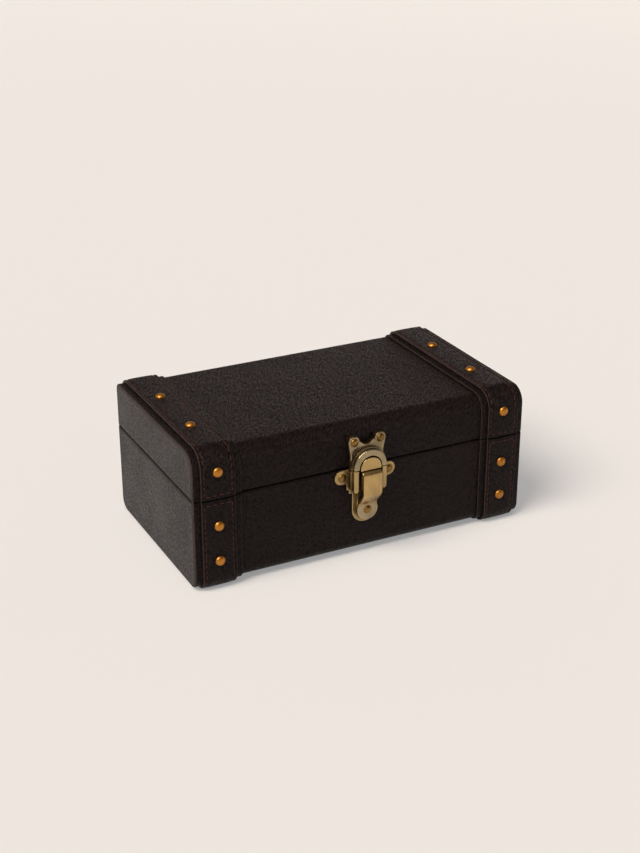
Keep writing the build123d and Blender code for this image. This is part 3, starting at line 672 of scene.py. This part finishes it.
# Straps
def strap_swell(across, crown, groove):
    """How far a strap's face stands out: a crown between its stitched rows, a dip along them.

    The crown is crown * (1 - share**4), where share is 1 at a row. The dip is groove at a row
    and fades as exp(-x**2), where x counts widths of the groove.
    """
    from_row = np.abs(across) - stitch_from_middle
    share = np.clip(np.abs(across) / stitch_from_middle, 0, 1)
    return crown * (1 - share**4) - groove * np.exp(-(from_row / stitch_groove_width) ** 2)


def strap_rings(wrap, half, inner, outer, edge_radius, crown, groove, nails=()):
    """Rings of a strap: its cross-section loop, across and out, carried along the outline.

    The loop starts at one lower edge, goes up round the raw edge, over the crowned top with a
    dip along each stitched row, and back underneath. The ends roll down to a quarter of the
    strap's height over the last 1.2 mm, along a quarter of an ellipse.
    """
    turn = quarter_turn(5)
    across = np.linspace(-half + edge_radius, half - edge_radius, 21)
    if groove:
        near_row = np.array((-1.3, -0.8, -0.4, 0.0, 0.4, 0.8, 1.3)) + stitch_from_middle
        across = np.unique(np.concatenate((across, near_row, -near_row)))
    top = outer + strap_swell(across, crown, groove)
    left = np.stack((-half + edge_radius * (1 - np.cos(turn)),
                     outer - edge_radius * (1 - np.sin(turn))), 1)[:-1]
    right = np.stack((-left[::-1, 0], left[::-1, 1]), 1)
    loop_x = np.concatenate(([-half + 0.6, -half], left[:, 0], across, right[:, 0], [half, half - 0.6]))
    loop_out = np.concatenate(([inner, inner + 0.25], left[:, 1], top, right[:, 1], [inner + 0.25, inner]))
    # A thin line peaking halfway round each rounded edge: raw-edge colour plus a painted highlight
    edge_and_highlight_share = np.sin(2 * turn[:-1]) ** 4
    edge = np.concatenate(([0, 0], edge_and_highlight_share, np.zeros(len(across)), edge_and_highlight_share[::-1], [0, 0]))
    end_roll = 1.2
    ends = np.array((0.12, 0.35, 0.7, end_roll))
    near_nails = [spot + np.linspace(-9, 9, 19) for spot in nails]
    lengths = np.concatenate((wrap.steps(2.4), ends, wrap.length - ends, *near_nails))
    lengths = np.unique(np.round(lengths, 4))
    from_end = np.minimum(lengths, wrap.length - lengths)
    short_of = 1 - np.clip(from_end / end_roll, 0, 1)
    roll = 0.75 * np.sqrt(np.clip(1 - short_of**2, 0, 1)) + 0.25
    out = inner + (loop_out[None] - inner) * roll[:, None]
    return lengths, loop_x, out, edge


def strap(name, part, middle, half, inner, outer, edge_radius, crown=0.0, groove=0.0, nails=(), seed=1):
    """A strap over one part, uneven by 0.08 mm and sunk by 0.45 mm round each nail.

    The dimple fades as exp(-(away / 6)**4). The leather is cut 60 mm times seed along the hide.
    """
    wrap = wraps[part]
    lengths, loop_x, out, edge = strap_rings(wrap, half, inner, outer, edge_radius, crown, groove, nails)
    topside = np.clip((out - inner) / (outer - inner) * 2 - 1, 0, 1)
    out = out + topside * 0.08 * ripple(lengths[:, None], loop_x[None], 14.0, seed)
    for spot in nails:
        away = np.hypot(lengths[:, None] - spot, loop_x[None])
        out = out - topside * 0.45 * np.exp(-(away / 6.0) ** 4)
    rings = wrap.place(lengths[:, None], middle + loop_x[None], out)
    piece = tube(name, rings)
    # The edge numbers carry raw-edge colour and a painted highlight along the strap's rounded edges
    attribute(piece, "edge", np.broadcast_to(edge, out.shape))
    lay_flat(piece, middle + 60.0 * seed + loop_x[None] + lean(part, lengths)[:, None], lengths[:, None])
    return piece


# Stitches
def stitch_row(wrap, starts, ends, outs):
    """Grain-shaped stitches between pairs of places (length, x) on an outline.

    Each is a ring of six points carried along it, thickest in the middle, whose ends dive
    into the leather.
    """
    along = np.array((0.0, 0.08, 0.3, 0.7, 0.92, 1.0))
    swell = np.array((0.05, 0.7, 1.0, 1.0, 0.7, 0.05))
    dive = np.array((-0.75, -0.25, 0.12, 0.12, -0.25, -0.75))
    starts, ends = np.asarray(starts, float), np.asarray(ends, float)
    places = starts[:, None] + (ends - starts)[:, None] * along[None, :, None]
    outs = np.asarray(outs, float)[:, None] + dive[None] * thread_radius * 1.6
    centres = wrap.place(places[..., 0], places[..., 1], outs)
    normal = np.zeros_like(centres)
    normal[..., 1], normal[..., 2] = wrap.normal(places[..., 0])
    tangent = unit(np.gradient(centres, axis=1))
    side = unit(np.cross(tangent, normal))
    up = np.cross(side, tangent)
    ring = circle(6, side[:, :, None], up[:, :, None])
    return centres[:, :, None] + thread_radius * swell[None, :, None, None] * ring


def join_rings(name, groups):
    """One mesh of many small closed tubes, each given as an array (tubes, rings, round, 3)."""
    points, faces, offset = [], [], 0
    for group in groups:
        count, rows, columns = group.shape[:3]
        quads = np.array(grid_faces(rows, columns))
        caps = np.stack((np.arange(columns)[::-1], np.arange(columns) + (rows - 1) * columns))
        shift = offset + np.arange(count) * rows * columns
        faces += (quads[None] + shift[:, None, None]).reshape(-1, 4).tolist()
        faces += (caps[None] + shift[:, None, None]).reshape(-1, columns).tolist()
        points.append(group.reshape(-1, 3))
        offset += count * rows * columns
    return make_mesh(name, np.concatenate(points), faces)


def strap_stitches(part, side, name):
    """The two long rows and the cross rows of one over-strap."""
    wrap = wraps[part]
    middle = side * strap_middle
    groups = []
    count = int((wrap.length - 2 * cross_row) / stitch_pitch)
    pitch = (wrap.length - 2 * cross_row) / count
    starts = cross_row + np.arange(count) * pitch + (pitch - stitch_length) / 2
    for row in (-1, 1):
        x = middle + row * stitch_from_middle
        first = np.stack((starts, np.full(count, x - 0.12 * row)), 1)
        last = np.stack((starts + stitch_length, np.full(count, x + 0.12 * row)), 1)
        groups.append(stitch_row(wrap, first, last, np.full(count, strap_out - strap_groove + stitch_lift)))
    across = int(2 * stitch_from_middle / stitch_pitch)
    step = 2 * stitch_from_middle / across
    x = np.arange(across) * step + (step - stitch_length) / 2 - stitch_from_middle
    out = strap_out + strap_swell(x + stitch_length / 2, strap_crown, 0.0) + stitch_lift / 2
    for s in (cross_row, wrap.length - cross_row):
        first = np.stack((np.full(across, s), middle + x), 1)
        last = np.stack((np.full(across, s), middle + x + stitch_length), 1)
        groups.append(stitch_row(wrap, first, last, out))
    return join_rings(name, groups)


# Nails
x_way = np.array((1.0, 0.0, 0.0))


def dome(planes, radius, height, sink=0.5, segments=32):
    """Domed heads: a cap of a ball turned about each place's outward direction, closed below."""
    share = np.array((1.0, 1.0, 0.985, 0.94, 0.86, 0.74, 0.6, 0.42, 0.22, 0.06))
    above = height * np.array((0.0, 0.12, 0.27, 0.45, 0.63, 0.79, 0.91, 0.98, 1.0))
    rise = np.concatenate(([-sink], above))
    groups = []
    for place, out in planes:
        ring = circle(segments, x_way, np.cross(out, x_way))
        groups.append(place + rise[:, None, None] * out + radius * share[:, None, None] * ring[None])
    return np.array(groups)


def strap_nails(part):
    """The nails of both straps of one part."""
    wrap = wraps[part]
    planes = []
    for side in sides.values():
        for spot in nail_spots[part]:
            place = wrap.place(spot, side * strap_middle, strap_out)
            turned = wrap.normal(spot)
            planes.append((place, np.array((0.0, float(turned[0]), float(turned[1])))))
    return join_rings(f"{part}_nail_heads", [dome(planes, nail_radius, nail_height)])


for part in ("base", "lid"):
    for name, side in sides.items():
        under = strap(f"{part}_{name}_under_strap_band", part, side * under_middle, under_half, 0.0,
                      under_out, under_edge_radius, seed=side + 3)
        dress(under, part, strap_leather, "strap_leather", f"{part}_{name}_under_strap")
        over = strap(f"{part}_{name}_over_strap_band", part, side * strap_middle, over_half, under_out,
                     strap_out, over_edge_radius, strap_crown, strap_groove, nail_spots[part], side + 5)
        dress(over, part, strap_leather, "strap_leather", f"{part}_{name}_over_strap")
        dress(strap_stitches(part, side, f"{part}_{name}_strap_stitches"), part, thread, "strap_leather")
    dress(strap_nails(part), part, nail_brass, "nail_brass", f"{part}_nails")


# Metal fittings: merged copies of the frame's own solids with their edges softened
def merged_copy(name, node, flats_joined):
    """A copy of a node where it stands, its double points merged.

    With flats_joined, faces that lie within a degree of each other become one.
    """
    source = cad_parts[node]
    mesh = source.data.copy()
    mesh.name = name
    mesh.transform(source.matrix_world)
    work = bmesh.new()
    work.from_mesh(mesh)
    bmesh.ops.remove_doubles(work, verts=work.verts, dist=2e-6)
    if flats_joined:
        bmesh.ops.dissolve_limit(work, angle_limit=math.radians(1.0), verts=work.verts, edges=work.edges)
    work.to_mesh(mesh)
    work.free()
    return add_object(name, mesh)


def softened(name, node, bevel, segments=2):
    """A merged copy of a node whose edges over 30 degrees are rounded by bevel."""
    piece = merged_copy(name, node, True)
    shade_smooth(piece.data, 30.0)
    rounding = piece.modifiers.new("edges", "BEVEL")
    rounding.width = bevel * METRE
    rounding.segments = segments
    rounding.limit_method = "ANGLE"
    rounding.angle_limit = math.radians(30.0)
    rounding.use_clamp_overlap = True
    rounding.harden_normals = True
    return piece


for node, body, bevel, material, slot in (
    ("latch_base_plate", "base", 0.3, plate_brass, "latch_brass"),
    ("latch_hasp_plate", "lid", 0.3, hasp_brass, "latch_brass"),
    ("base_hinge_leaves", "base", 0.12, hinge_brass, "hinge_brass"),
    ("lid_hinge_leaves", "lid", 0.12, hinge_brass, "hinge_brass"),
    ("hinge_pins", "base", 0.1, hinge_brass, "hinge_brass"),
):
    dress(softened(f"{node}_metal", node, bevel), body, material, slot, node)


latch_rivet_radius = 3.2


def latch_rivets(node, body, height, face):
    """Domed heads with a thin flange round them, where a node's rivets are.

    height is a head's own, and face is how far the plate's face stands out from the cover.
    """
    low, high = node_box(node)
    places = sorted({round(low[0] + latch_rivet_radius, 3), round(high[0] - latch_rivet_radius, 3)})
    planes = [(np.array((x, front - face, (low[2] + high[2]) / 2)), np.array((0.0, -1.0, 0.0)))
              for x in places]
    heads = dome(planes, latch_rivet_radius, height, 0.3, 28)
    flanges = dome(planes, latch_rivet_radius + 0.5, 0.35, 0.3, 28)
    dress(join_rings(f"{node}_heads", [heads, flanges]), body, rivet_brass, "latch_brass", node)


latch_rivets("latch_base_rivets", "base", 1.7, 1.6)
latch_rivets("latch_hasp_rivets", "lid", 1.7, 4.7)
latch_rivets("latch_foot_rivet", "base", 2.1, 6.2)


# Latch tongue and foot, in the latch's own measures: across, up from the seam, out from the cover
strip_thickness = 1.4
flap_half = 8.2
flap_out = 14.2
fold_centre = (11.1, -3.7)
head_radius = 9.0
head_middle = 2.2
head_bottom = 0.7
foot_radius = 9.1
foot_middle = -35.8
foot_top = -31.2


def latch_points(across, rise, out):
    """Points of the latch in the box's own coordinates."""
    across, rise, out = np.broadcast_arrays(np.asarray(across, float), rise, out)
    return np.stack((across, front - out, seam + rise), -1)


def smoothed(path, times=4):
    """A path with its corners cut: each step puts two points a quarter in from each leg's ends."""
    for _ in range(times):
        inner = np.stack((0.75 * path[:-1] + 0.25 * path[1:], 0.25 * path[:-1] + 0.75 * path[1:]), 1)
        path = np.concatenate((path[:1], inner.reshape(-1, 2), path[-1:]))
    return path


def strip_rings(path, half):
    """A bent strip: a rounded cross-section carried along a path of out and rise.

    half is the strip's half width at each step of the path, and its face is crowned a little.
    """
    crown, corner = 0.2, 0.4
    along = unit(np.gradient(path, axis=0))
    normal = np.stack((-along[:, 1], along[:, 0]), 1)
    turn = quarter_turn(4)
    side = np.stack((corner * (1 - np.cos(turn)), strip_thickness / 2 - corner * (1 - np.sin(turn))), 1)
    share = np.linspace(-1, 1, 13)[1:-1]
    left = side[:, 0] - half[:, None]
    right = -left[:, ::-1]
    xs = np.concatenate((left, share * (half[:, None] - corner), right, right[:, ::-1], left[:, ::-1]), 1)
    face = strip_thickness / 2 + crown * (1 - share**2)
    outs = np.concatenate((side[:, 1], face, side[::-1, 1], -side[:, 1], -side[::-1, 1]))
    points = path[:, None, :] + normal[:, None, :] * outs[None, :, None]
    return latch_points(xs, points[..., 1], points[..., 0])


def plate_rings(outline, low, high, edge):
    """A plate whose outline, in the plane of across and rise, is rounded over at its two faces."""
    after = np.roll(outline, -1, 0)
    if (outline[:, 0] * after[:, 1] - after[:, 0] * outline[:, 1]).sum() < 0:
        outline = outline[::-1]
    ahead, behind = np.roll(outline, -1, 0) - outline, outline - np.roll(outline, 1, 0)
    turned = [unit(np.stack((step[:, 1], -step[:, 0]), 1)) for step in (ahead, behind)]
    outwards = unit(turned[0] + turned[1])
    turn = quarter_turn(5)
    roll = list(zip(edge * (1 - np.sin(turn)), edge * (1 - np.cos(turn))))
    steps = [(inset, low + depth) for inset, depth in roll]
    steps += [(inset, high - depth) for inset, depth in roll[::-1]]
    return [(outline - outwards * inset, depth) for inset, depth in steps]


def arc_points(centre, radius, first, last, count):
    """Points on an arc, its angles in degrees."""
    angles = np.radians(np.linspace(first, last, count))
    return np.array(centre) + radius * np.stack((np.cos(angles), np.sin(angles)), 1)


def flap_strip():
    """The tongue's strip: lip, fold, flat flap and S-bend, down to where the foot begins."""
    lip = np.array(((7.6, -0.6), (10.2, -0.6)))
    fold = arc_points(fold_centre, flap_out - fold_centre[0], 90, 0, 14)
    flap = np.array([(flap_out, rise) for rise in np.linspace(-5.0, -15.0, 8)])
    bend = smoothed(np.array(((flap_out, -15.6), (flap_out, -19.4), (10.9, -24.0), (8.2, -27.6),
                              (6.0, -29.6), (5.5, -30.7), (5.5, -31.08))))
    path = np.concatenate((lip, fold, flap, bend))
    half = np.interp(-path[:, 1], (16.0, 22.0, 28.0, 32.0), (flap_half, 8.0, 7.6, 7.7))
    return strip_rings(path, half)[None]


def flange(side):
    """One side wall of the flap, its outline in the plane of out and rise."""
    face = flap_out + 0.5
    outline = np.concatenate((
        [(9.4, 0.1), (9.4, -12.6)], arc_points((11.4, -12.6), 2.0, 180, 270, 6)[1:],
        [(face, -14.6), (face, fold_centre[1])],
        arc_points(fold_centre, face - fold_centre[0], 0, 90, 10)[1:]))
    low, high = sorted((side * flap_half, side * (flap_half - strip_thickness)))
    rings = plate_rings(outline, low, high, 0.3)
    return np.array([latch_points(across, ring[:, 1], ring[:, 0]) for ring, across in rings])[None]


def upright_plate(outline, low, high, edge):
    """A plate that lies parallel to the front, between two distances out from the cover."""
    rings = plate_rings(np.asarray(outline, float), low, high, edge)
    return np.array([latch_points(ring[:, 0], ring[:, 1], depth) for ring, depth in rings])[None]


def oblong(half, low, high):
    """A rectangle's corners, centred across, between two heights."""
    return ((half, low), (-half, low), (-half, high), (half, high))


head_low = math.degrees(math.asin((head_bottom - head_middle) / head_radius))
head_outline = arc_points((0, head_middle), head_radius, 180 - head_low, head_low, 48)
foot_low = math.degrees(math.asin((foot_top - foot_middle) / foot_radius))
foot_outline = arc_points((0, foot_middle), foot_radius, foot_low, -180 - foot_low, 64)
tongue = join_rings("latch_tongue_strip", [
    flap_strip(), flange(-1), flange(1), upright_plate(head_outline, 7.7, 11.5, 0.5),
    upright_plate(oblong(6.0, -0.8, 2.4), 7.6, 9.2, 0.2),
    upright_plate(oblong(2.5, 5.0, 8.0), 5.1, 8.0, 0.3)])
dress(tongue, "latch_tongue", tongue_brass, "latch_brass", "latch_tongue")
foot = join_rings("latch_foot_pad", [upright_plate(foot_outline, 4.6, 6.2, 0.45)])
dress(foot, "base", hasp_brass, "latch_brass", "latch_foot")


# Inside: linings
lining_wall = 1.0


def rounded_ring(low, high, inset, radius, per_side=(60, 32)):
    """A rectangle drawn in from its corners low and high, its own corners rounded."""
    half = (high - low) / 2 - inset
    radius = min(radius, half.min() * 0.98)
    corners = []
    for number, (right, up) in enumerate(((1, 1), (-1, 1), (-1, -1), (1, -1))):
        centre = (right * (half[0] - radius), up * (half[1] - radius))
        corners.append(arc_points(centre, radius, 90 * number, 90 * number + 90, 5))
    runs = []
    for number in range(4):
        start, end = corners[number][-1], corners[(number + 1) % 4][0]
        share = np.linspace(0, 1, per_side[number % 2])[1:-1, None]
        runs += [corners[number], start + (end - start) * share]
    return np.concatenate(runs) + (high + low) / 2


def wall_steps(rim, foot, toward):
    """A wall's section as steps of inset and height: up the outside and over the round rim."""
    roll = lining_wall / 2
    steps = [(0.0, height) for height in np.linspace(foot, rim + toward * roll, 8)]
    for angle in np.radians((30, 60, 90)):
        steps.append((roll * (1 - math.cos(angle)), rim + toward * roll * (1 - math.sin(angle))))
    for angle in np.radians((30, 60, 90)):
        steps.append((roll * (1 + math.sin(angle)), rim + toward * roll * (1 - math.cos(angle))))
    return steps


def lining_rings(low, high, steps):
    """One ring of the lining for each step of inset and height."""
    rings = []
    for inset, height in steps:
        flat = rounded_ring(low[:2], high[:2], inset, 0.3 if inset < lining_wall else 1.6)
        rings.append(np.column_stack((flat, np.full(len(flat), height))))
    return np.array(rings)


def base_lining_shell():
    """The base's lining: rings up the outside, over the rim, down the wall and in over the floor.

    The wall's inner face stands in towards the middle by 0.14 mm times the size of a ripple.
    """
    low, high = node_box("base_lining")
    floor_level, fillet = low[2] + 2.5, 1.2
    steps = [(0.4, low[2])] + wall_steps(high[2], low[2] + 0.4, -1)
    steps += [(lining_wall, height) for height in np.linspace(high[2] - 3, floor_level + fillet, 12)]
    for angle in np.radians((30, 60, 90)):
        inset = lining_wall + fillet * (1 - math.cos(angle))
        steps.append((inset, floor_level + fillet * (1 - math.sin(angle))))
    steps += [(inset, floor_level) for inset in (4, 8, 14, 22, 32, 44, 56, 66, 70)]
    rings = lining_rings(low, high, steps)
    inner = np.array([inset >= lining_wall and height < high[2] - 2 for inset, height in steps])
    swell = 0.14 * ripple(rings[..., 0] + rings[..., 1], rings[..., 2] + rings[..., 1], 17.0, 4)
    toward = unit(np.array((0.0, centre_y)) - rings[..., :2])
    rings[..., :2] += toward * (np.abs(swell) * inner[:, None])[..., None]
    return tube("base_lining_suede", rings)


def lid_lining_shell():
    """The lid's wall lining: one ring of walls whose section closes on itself."""
    low, high = node_box("lid_lining")
    steps = wall_steps(low[2], high[2], 1)
    steps += [(lining_wall, height) for height in np.linspace(low[2] + 3, high[2], 8)]
    rings = lining_rings(low, high, steps)
    return make_mesh("lid_lining_suede", rings, grid_faces(len(rings), rings.shape[1], looped=True))


dress(base_lining_shell(), "base", lining_suede, "lining_suede", "base_lining")
dress(lid_lining_shell(), "lid", lining_suede, "lining_suede", "lid_lining")
for node in ("long_divider", *(f"cross_divider_{number}" for number in range(1, 5))):
    dress(softened(f"{node}_suede", node, 0.45, 3), "base", lining_suede, "lining_suede", node)


# Inside: stuffed pieces
stuffing_voxel = 4.0
stuffing_pressure = 4.0
stuffing_frames = 20


def points_of(mesh):
    """A mesh's points as an array, in millimetres."""
    points = np.empty(len(mesh.vertices) * 3)
    mesh.vertices.foreach_get("co", points)
    return points.reshape(-1, 3) / METRE


def worked_out(piece):
    """The mesh that a piece's modifiers make of it."""
    return bpy.data.meshes.new_from_object(piece.evaluated_get(bpy.context.evaluated_depsgraph_get()))


def stuffed(node, cap, shrink):
    """A node's solid, drawn in by shrink, remeshed and blown up as cloth, as points and faces.

    No point moves further than the cap. Also returned: the remeshed points before and after.
    """
    low, high = node_box(node)
    middle = (low + high) / 2
    piece = merged_copy("stuffing", node, False)
    mesh = piece.data
    points = middle + (points_of(mesh) - middle) * (1 - 2 * shrink / (high - low))
    mesh.vertices.foreach_set("co", (points * METRE).ravel())
    mesh.update()
    remesh = piece.modifiers.new("remesh", "REMESH")
    remesh.mode = "VOXEL"
    remesh.voxel_size = stuffing_voxel * METRE
    mesh = worked_out(piece)
    piece.modifiers.clear()
    piece.data = mesh
    before = points_of(mesh)
    after = before
    cloth = piece.modifiers.new("cloth", "CLOTH")
    cloth.settings.use_pressure = True
    cloth.settings.uniform_pressure_force = stuffing_pressure
    cloth.settings.effector_weights.gravity = 0.0
    cloth.collision_settings.use_collision = False
    for number in range(1, stuffing_frames + 1):
        bpy.context.scene.frame_set(number)
    moved = points_of(worked_out(piece)) - before
    reach = np.linalg.norm(moved, axis=1, keepdims=True)
    after = before + moved * np.minimum(1.0, cap / np.maximum(reach, 1e-9))
    piece.modifiers.clear()
    bpy.context.scene.frame_set(1)
    mesh.vertices.foreach_set("co", (after * METRE).ravel())
    mesh.update()
    finer = piece.modifiers.new("finer", "SUBSURF")
    finer.levels = finer.render_levels = 1
    mesh = worked_out(piece)
    bpy.data.objects.remove(piece)
    return points_of(mesh), [list(face.vertices) for face in mesh.polygons], before, after


def fitted(points, low, high, rest, flat):
    """The function that scales points to a box and presses their bulge flat on the rest side.

    rest is -1 for the underside and 1 for the top; flat is how deep the bulge is pressed.
    """
    least, most = points.min(axis=0), points.max(axis=0)
    if rest < 0:
        least[2] += flat
    else:
        most[2] -= flat
    return lambda some: np.clip(low + (some - least) / (most - least) * (high - low), low, high)


def welt(path, radius, low, high):
    """Piping: a round cord along a closed path, kept inside a box."""
    path = np.clip(path, low + radius, high - radius)
    along = unit(np.roll(path, -1, 0) - np.roll(path, 1, 0))
    side = unit(np.cross(along, x_way))
    return path[:, None] + radius * circle(8, x_way, side[:, None])


def cushion_form(node):
    """A stuffed watch cushion with piping round its two ends, as points and faces about its middle."""
    shrink, piping_radius, slow_waves = 2.6, 0.85, 9
    low, high = node_box(node)
    middle = (low + high) / 2
    points, faces, before, after = stuffed(node, 6.0, shrink)
    fit = fitted(points, low, high, -1, 1.6)
    groups = [fit(points)]
    # The piping follows the points that the ends' edges became, with only its slow waves kept
    half = (high - low) / 2 - shrink
    around = rounded_ring(-half[1:], half[1:], 0.0, 9.0, (24, 14))
    for side in (-1, 1):
        wanted = np.column_stack((np.full(len(around), middle[0] + side * half[0]), around + middle[1:]))
        nearest = np.linalg.norm(before[None] - wanted[:, None], axis=2).argmin(axis=1)
        waves = np.fft.rfft(fit(after)[nearest], axis=0)
        waves[slow_waves:] = 0
        rings = welt(np.fft.irfft(waves, len(nearest), axis=0), piping_radius, low, high)
        quads = np.array(grid_faces(*rings.shape[:2], looped=True)) + sum(len(group) for group in groups)
        faces += quads.tolist()
        groups.append(rings.reshape(-1, 3))
    return np.concatenate(groups) - middle, faces


cushion_points, cushion_faces = cushion_form("watch_cushion_01")
for number in range(1, 11):
    node = f"watch_cushion_{number:02d}"
    low, high = node_box(node)
    mirrored = np.array((-1.0 if number % 2 else 1.0, -1.0 if number % 3 else 1.0, 1.0))
    piece = make_mesh(f"{node}_pillow", cushion_points * mirrored + (low + high) / 2, cushion_faces)
    dress(piece, node, cushion_suede, "cushion_suede", node)

low, high = node_box("lid_pad")
points, faces, _, _ = stuffed("lid_pad", 3.0, 1.0)
points = fitted(points, low, high, 1, 1.0)(points)
# A sewn channel runs round the pad's underside, a border in from its edges
pad_border, channel_depth, channel_width = 17.0, 1.6, 2.0
half = (high - low)[:2] / 2 - pad_border
from_line = np.abs(np.maximum(*(np.abs(points[:, :2] - (low + high)[:2] / 2) - half).T))
channel = channel_depth * np.exp(-(from_line / channel_width) ** 2)
points[:, 2] += np.where(points[:, 2] < high[2] - 2, channel, 0.0)
pad = dress(make_mesh("lid_pad_cushion", points, faces), "lid", cushion_suede, "lining_suede", "lid_pad")


# Inside: slotted screw heads in the hinge leaves
screw_x = [side * hinge_middle + end * hinge_screw_from_middle for side in (-1, 1) for end in (-1, 1)]


def screw_heads(node, body, toward):
    """Flat slotted heads: each a run of cross-sections over a disc, lower along the slot."""
    low, high = node_box(node)
    face = high[2] if toward > 0 else low[2]
    radius, slot, sunk, bottom = 1.9, 0.28, 0.5, -0.9
    rim = np.cos(np.radians(np.linspace(2, 178, 24))) * radius
    across = np.unique(np.concatenate((rim, (-slot - 0.04, -slot, slot, slot + 0.04))))
    chord = np.sqrt(radius**2 - across**2)
    level = np.where(np.abs(across) <= slot + 1e-6, -sunk, -0.06)
    under = np.full_like(level, bottom)
    share = np.array((-1.0, -0.93, 0.93, 1.0, 1.0, -1.0))
    heights = np.stack((level - 0.05, level, level, level - 0.05, under, under), 1)
    groups = []
    for number, x in enumerate(screw_x):
        turn = math.radians(35 + 47 * number)
        flat_x = across[:, None] * math.cos(turn) - chord[:, None] * share * math.sin(turn)
        flat_y = across[:, None] * math.sin(turn) + chord[:, None] * share * math.cos(turn)
        groups.append(np.stack((x + flat_x, (low[1] + high[1]) / 2 + flat_y, face + toward * heights), -1))
    dress(join_rings(f"{node}_heads", [np.array(groups)]), body, screw_steel, "screw_steel", node)


screw_heads("base_hinge_screws", "base", 1)
screw_heads("lid_hinge_screws", "lid", -1)

for name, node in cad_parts.items():
    if name.endswith("_board"):
        node.data.materials.clear()
        node.data.materials.append(board_wood)


# Floor, light and camera
def sweep():
    """A pale floor: a disc that curls up gently at its far rim, as rings about the middle."""
    radius = np.array((0.01, 150, 300, 500, 900, 1500, 2300, 3000, 3400, 3700, 3900))
    rise = np.array((0, 0, 0, 0, 0, 0, 0, 60, 160, 330, 560))
    ring = circle(96, x_way, np.array((0.0, 1.0, 0.0)))
    middle = np.stack((np.zeros(len(rise)), np.full(len(rise), centre_y), rise), 1)
    rings = radius[:, None, None] * ring + middle[:, None]
    faces = grid_faces(*rings.shape[:2]) + [list(range(len(ring)))]
    return make_mesh("floor", rings, faces, closed=False)


def make_floor():
    """Matt floor whose own colour carries part of the light, so that its shadows stay soft."""
    paint = Paint("floor")
    shader = paint.shader
    shader.inputs["Base Color"].default_value = (0.80, 0.79, 0.78, 1.0)
    shader.inputs["Roughness"].default_value = 0.9
    shader.inputs["Specular IOR Level"].default_value = 0.0
    glow = paint.node("ShaderNodeEmission", {}, (0.775, 0.785, 0.795, 1.0), 1.0)
    path = paint.node("ShaderNodeLightPath", {})
    seen = (Value(paint, path.outputs["Is Camera Ray"]) + Value(paint, path.outputs["Is Glossy Ray"])
            + Value(paint, path.outputs["Is Transmission Ray"])).clamp()
    mix = paint.node("ShaderNodeMixShader", {}, seen * 0.35, shader.outputs[0], glow.outputs[0])
    paint.feed(paint.tree.nodes["Material Output"].inputs["Surface"], mix.outputs[0])
    return paint.material


def studio_sky():
    """A world whose horizon fades upwards into a dark ceiling, with one broad light overhead."""
    world = bpy.data.worlds.new("studio")
    bpy.context.scene.world = world
    world.use_nodes = True
    nodes, links = world.node_tree.nodes, world.node_tree.links
    background = nodes["Background"]
    background.inputs["Color"].default_value = (1.0, 0.86, 0.82, 1.0)
    direction = nodes.new("ShaderNodeTexCoord")
    axes = nodes.new("ShaderNodeSeparateXYZ")
    total = nodes.new("ShaderNodeMath")
    links.new(direction.outputs["Generated"], axes.inputs[0])
    # Each from a lower to an upper share of the way up, and the brightness at both
    horizon, overhead = (0.05, 0.66, 0.64, 0.05), (0.92, 0.98, 0.0, 0.9)
    for number, limits in enumerate((horizon, overhead)):
        level = nodes.new("ShaderNodeMapRange")
        level.interpolation_type = "SMOOTHSTEP"
        for socket, value in zip(("From Min", "From Max", "To Min", "To Max"), limits):
            level.inputs[socket].default_value = value
        links.new(axes.outputs["Z"], level.inputs["Value"])
        links.new(level.outputs[0], total.inputs[number])
    links.new(total.outputs[0], background.inputs["Strength"])


def aim(piece, place, target):
    """Put a lamp or the camera at a place, in metres, looking at a target."""
    piece.location = place
    piece.rotation_euler = (Vector(target) - Vector(place)).to_track_quat("-Z", "Y").to_euler()


def add_sun(name, strength, spread, color, place, target):
    """A far lamp that shines from a place towards a target, its spread in degrees."""
    sun = bpy.data.lights.new(name, "SUN")
    sun.energy = strength
    sun.angle = math.radians(spread)
    sun.color = color
    aim(add_object(name, sun), place, target)


floor = sweep()
floor.data.materials.append(make_floor())
studio_sky()
add_sun("key", 3.4, 36, (1.0, 0.89, 0.77), (-1.0, -0.3, 1.3), (0, 0, 0.05))
add_sun("glint", 0.27, 8, (1.0, 1.0, 1.0), (-0.18, -0.35, 1.0), (0, 0, 0))

camera = bpy.data.cameras.new("camera")
camera.lens = 64.28
camera.sensor_width = 36.0
viewer = add_object("camera", camera)
eye = Vector((-0.5132, -1.01495, 0.5906))
view_way = Vector((0.4110, 0.8143, -0.4096))
aim(viewer, eye, eye + view_way)
bpy.context.scene.camera = viewer
bpy.context.scene.view_settings.view_transform = "Standard"
